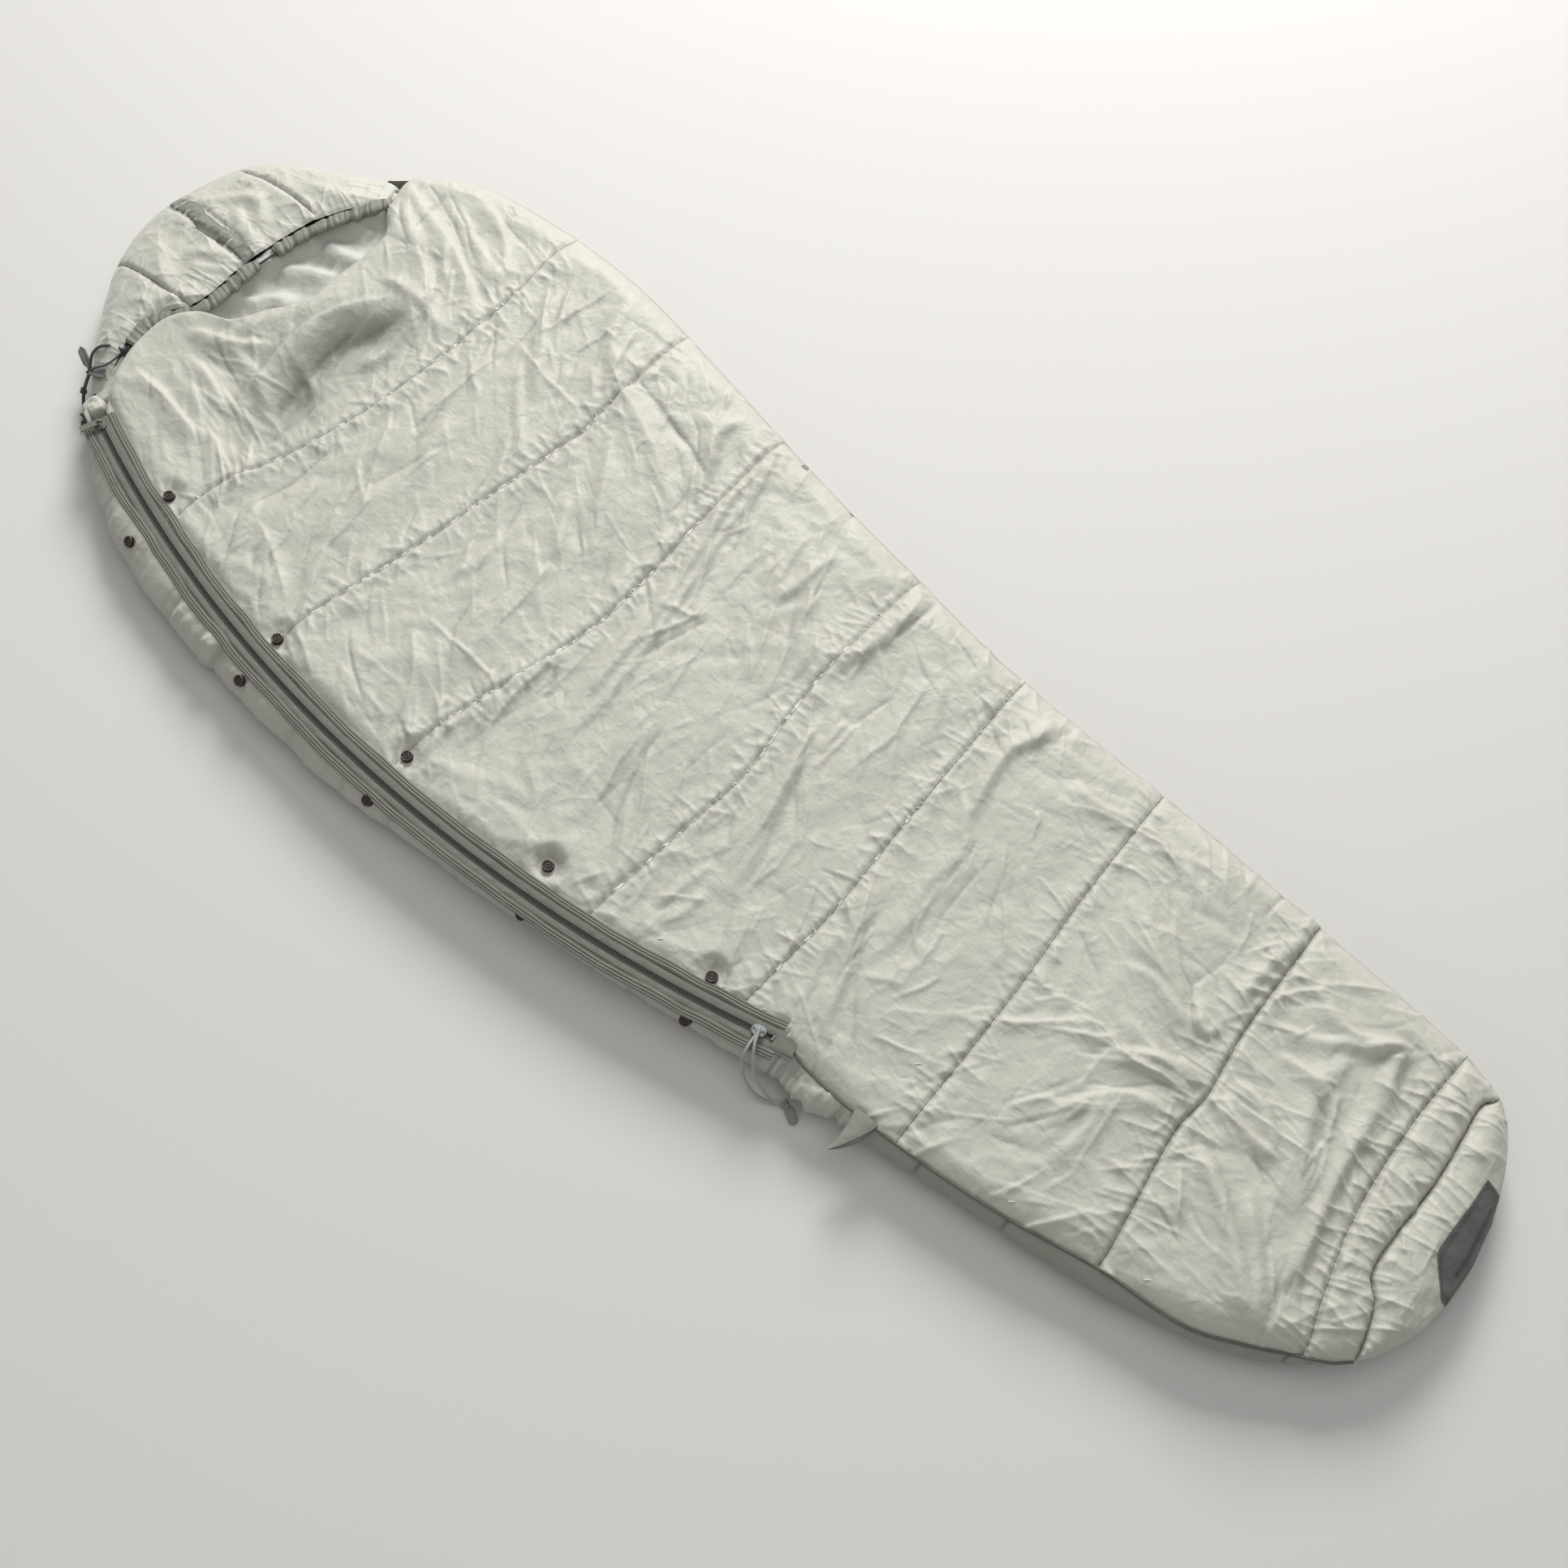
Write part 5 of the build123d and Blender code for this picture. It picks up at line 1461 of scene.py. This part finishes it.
leaf_parts = []
for root, tip, bow, broad in (((-943, -214, 41), (-974, -202, 49), 5, 5.4),
                              ((-934, -215, 44), (-899, -212, 57), 6, 9.0)):
    root, tip = np.array(root, float), np.array(tip, float)
    way = (tip - root) / np.linalg.norm(tip - root)
    side = np.cross(way, (0, 0, 1))
    side /= np.linalg.norm(side)
    verts = []
    for i in range(13):
        t = i / 12
        width = broad * min(1, 4 * t + 0.35) * (1 - max(0, (t - 0.72) / 0.28) ** 1.3 * 0.95)
        for v in (-1, -0.5, 0, 0.5, 1):
            lift = bow * math.sin(math.pi * t) * 0.6 + 1.6 * abs(v)
            verts.append(root + (tip - root) * t + side * width * v + np.array([0, 0, lift]))
    leaf_parts.append((verts, grid_faces(13, 5)))
leaves = mesh_object("draw_tape_leaves", *joined(leaf_parts), patch_cloth, parent_ride=False)
thick = leaves.modifiers.new("thick", "SOLIDIFY")
thick.thickness = 0.9 * MM
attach(leaves, "bag")
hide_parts("draw_tape_ends")

pull = route_curve("pull_cord", pull_route, 3.6, pull_braid, "lower_pull")
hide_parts("lower_pull_cord")
knot_at = np.array([*(slide_at + slide_way * 57 + slide_out * 50), 5.8])
pull_knot_braid = plain("pull_knot_braid", (0.28, 0.29, 0.26), 0.6, bump_scale=900, bump_depth=0.0005)
pull_knot = mesh_object("pull_knot", *knot(knot_at, 6.0, 2.0, 0.9), pull_knot_braid, "lower_pull")
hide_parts("lower_pull_knot")

# ---- Finishes of the hard pieces that the CAD keeps ----

give("lower_pull_end", plain("moulded_end", (0.235, 0.245, 0.205), 0.5, 0.0, 0.3, (0.4, 0.41, 0.37)), 0.9)
slider_finish = plain("slider_metal", (0.17, 0.197, 0.21), 0.40, 0.7, 0.4, (0.55, 0.6, 0.62), bump_scale=120,
                      bump_depth=0.00002)
give("lower_slider", slider_finish, 0.35)
painted = plain("painted_slider", (0.20, 0.20, 0.17), 0.55, 0.2)
give("upper_slider", painted, 0.35)
give("upper_pull_tab", painted, 0.4)
snap_finish = plain("snap_metal", (0.030, 0.021, 0.019), 0.36, 0.45, 0.5, (0.22, 0.17, 0.15), bump_scale=500)
for node in ("upper_snap_studs", "lower_snap_studs"):
    give(node, snap_finish, 0.25)
for node in ("upper_snap_posts", "lower_snap_posts"):
    give(node, snap_finish)


def square_to(axis):
    """Two directions at right angles to an axis and to each other."""
    one = np.cross(axis, (0.3, 1, 0.1))
    one /= np.linalg.norm(one)
    return one, np.cross(axis, one)


def torus(middle, axis, radius, thread, sides=10, steps=36):
    """A ring about an axis."""
    one, two = square_to(axis)
    verts = []
    for a in np.linspace(0, 2 * math.pi, steps, endpoint=False):
        way = one * math.cos(a) + two * math.sin(a)
        for b in np.linspace(0, 2 * math.pi, sides, endpoint=False):
            verts.append(middle + way * (radius + thread * math.cos(b)) + axis * thread * math.sin(b))
    index = lambda i, j: (i % steps) * sides + j % sides
    faces = [(index(i, j), index(i + 1, j), index(i + 1, j + 1), index(i, j + 1)) for i in range(steps)
             for j in range(sides)]
    return verts, faces


def disc(middle, axis, radius):
    """A flat round face about an axis."""
    one, two = square_to(axis)
    angle = np.linspace(0, 2 * math.pi, 24, endpoint=False)
    return [middle + radius * (one * math.cos(a) + two * math.sin(a)) for a in angle], [tuple(range(24))]


rims, sockets = [], []
for node in ("upper_snap_studs", "lower_snap_studs"):
    for part in snaps_of(node):
        middle = (part.min(0) + part.max(0)) / 2
        axis = np.linalg.svd(part - part.mean(0), full_matrices=False)[2][2]
        axis *= np.sign(axis[2])
        face = middle + axis * ((part - middle) @ axis).max()
        broad = np.linalg.norm((part - middle) - np.outer((part - middle) @ axis, axis), axis=1).max()
        rims += [torus(face - axis * 0.1, axis, broad * 0.80, broad * 0.15),
                 torus(face, axis, broad * 0.34, broad * 0.10)]
        sockets.append(disc(face + axis * 0.15, axis, broad * 0.68))
rim_finish = plain("snap_rim", (0.05, 0.034, 0.031), 0.35, 0.5, 0.35, (0.30, 0.22, 0.2), bump_scale=200,
                   bump_depth=0.00003)
mesh_object("snap_rims", *joined(rims), rim_finish)
# A flat black disc on each snap, painted in as the shade in its socket's hollow.
socket_shade_finish = plain("snap_hollow_shade", (0.012, 0.010, 0.010), 0.6)
mesh_object("snap_sockets", *joined(sockets), socket_shade_finish, smooth_shade=False)
give("hood_drawcord", plain("inner_cord", (0.05, 0.052, 0.046), 0.65, bump_scale=800, bump_depth=0.0004))
lock_finish = plain("lock_plastic", (0.012, 0.012, 0.013), 0.38, 0.0, 0.25, (0.1, 0.1, 0.1))
give("cord_lock_barrel", lock_finish, 0.4)
give("cord_lock_plunger", plain("lock_stub", (0.35, 0.36, 0.36), 0.35, 0.2, 0.4, (0.7, 0.7, 0.7)), 0.3)
LOCK_ALONG = 11.0  # from the channel's mouth along the free cord, whose heading the joint's axis gives
lock_x, lock_y = -912 + LOCK_ALONG * 0.14834, -158 - LOCK_ALONG * 0.988936
COIL_R, COIL_LOW, COIL_HIGH, COIL_TURN = 1.9, 57.85, 3.1, 6 * math.pi
coil = [(lock_x + COIL_R * math.cos(a), lock_y + COIL_R * math.sin(a), COIL_LOW + COIL_HIGH * a / COIL_TURN)
        for a in np.linspace(0, COIL_TURN, 90)]
spring_steel = plain("spring_steel", (0.45, 0.45, 0.44), 0.3, 1.0)
spring = mesh_object("cord_lock_coil", *tube(coil, 0.18, 8), spring_steel, body="cord_lock")
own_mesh(spring)
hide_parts("cord_lock_spring")

# ---- Camera, light and floor ----

scene = bpy.context.scene
scene.view_settings.view_transform = "Standard"
scene.view_settings.look = "None"

CAMERA_AT = Vector((0.699, -0.591, 1.772))
camera_data = bpy.data.cameras.new("camera")
camera_data.lens = 36.09
camera_data.sensor_width = 36.0
camera = bpy.data.objects.new("camera", camera_data)
scene.collection.objects.link(camera)
right = Vector((0.7337, 0.6794, 0)).normalized()
ahead = Vector((-0.6794, 0.7337, 0)).normalized()
pitch = math.radians(66)
look = ahead * math.cos(pitch) - Vector((0, 0, 1)) * math.sin(pitch)
up = right.cross(look)
camera.matrix_world = Matrix.Translation(CAMERA_AT) @ Matrix((right, up, -look)).transposed().to_4x4()
scene.camera = camera

floor_mesh = bpy.data.meshes.new("floor")
floor_mesh.from_pydata([(-9, -9, -0.001), (9, -9, -0.001), (9, 9, -0.001), (-9, 9, -0.001)], [], [(0, 1, 2, 3)])
floor = bpy.data.objects.new("floor", floor_mesh)
scene.collection.objects.link(floor)
floor_material, _, _, floor_shader = node_material("floor")
floor_shader.inputs["Base Color"].default_value = (0.62, 0.61, 0.59, 1)
floor_shader.inputs["Roughness"].default_value = 0.85
floor_mesh.materials.append(floor_material)


def area_light(name, at, target, size, power, colour=(1, 1, 1)):
    data = bpy.data.lights.new(name, "AREA")
    data.shape = "RECTANGLE"
    data.size, data.size_y = size
    data.energy = power
    data.color = colour
    light = bpy.data.objects.new(name, data)
    scene.collection.objects.link(light)
    light.location = at
    light.rotation_euler = (Vector(target) - Vector(at)).to_track_quat("-Z", "Y").to_euler()


area_light("key", (-2.5, 4.0, 3.0), (0, 0, 0), (2.2, 2.2), 385, (1, 0.99, 0.965))
area_light("sky", (0.5, 0.2, 3.2), (0.3, 0, 0), (3.0, 3.0), 34, (1, 0.99, 0.97))
area_light("fill", (0.5, -3.0, 1.8), (0, 0, 0), (2.0, 1.5), 10, (0.97, 0.98, 1))
world = bpy.data.worlds.new("world")
world.use_nodes = True
world.node_tree.nodes["Background"].inputs[0].default_value = (0.97, 0.97, 1, 1)
world.node_tree.nodes["Background"].inputs[1].default_value = 0.24
scene.world = world
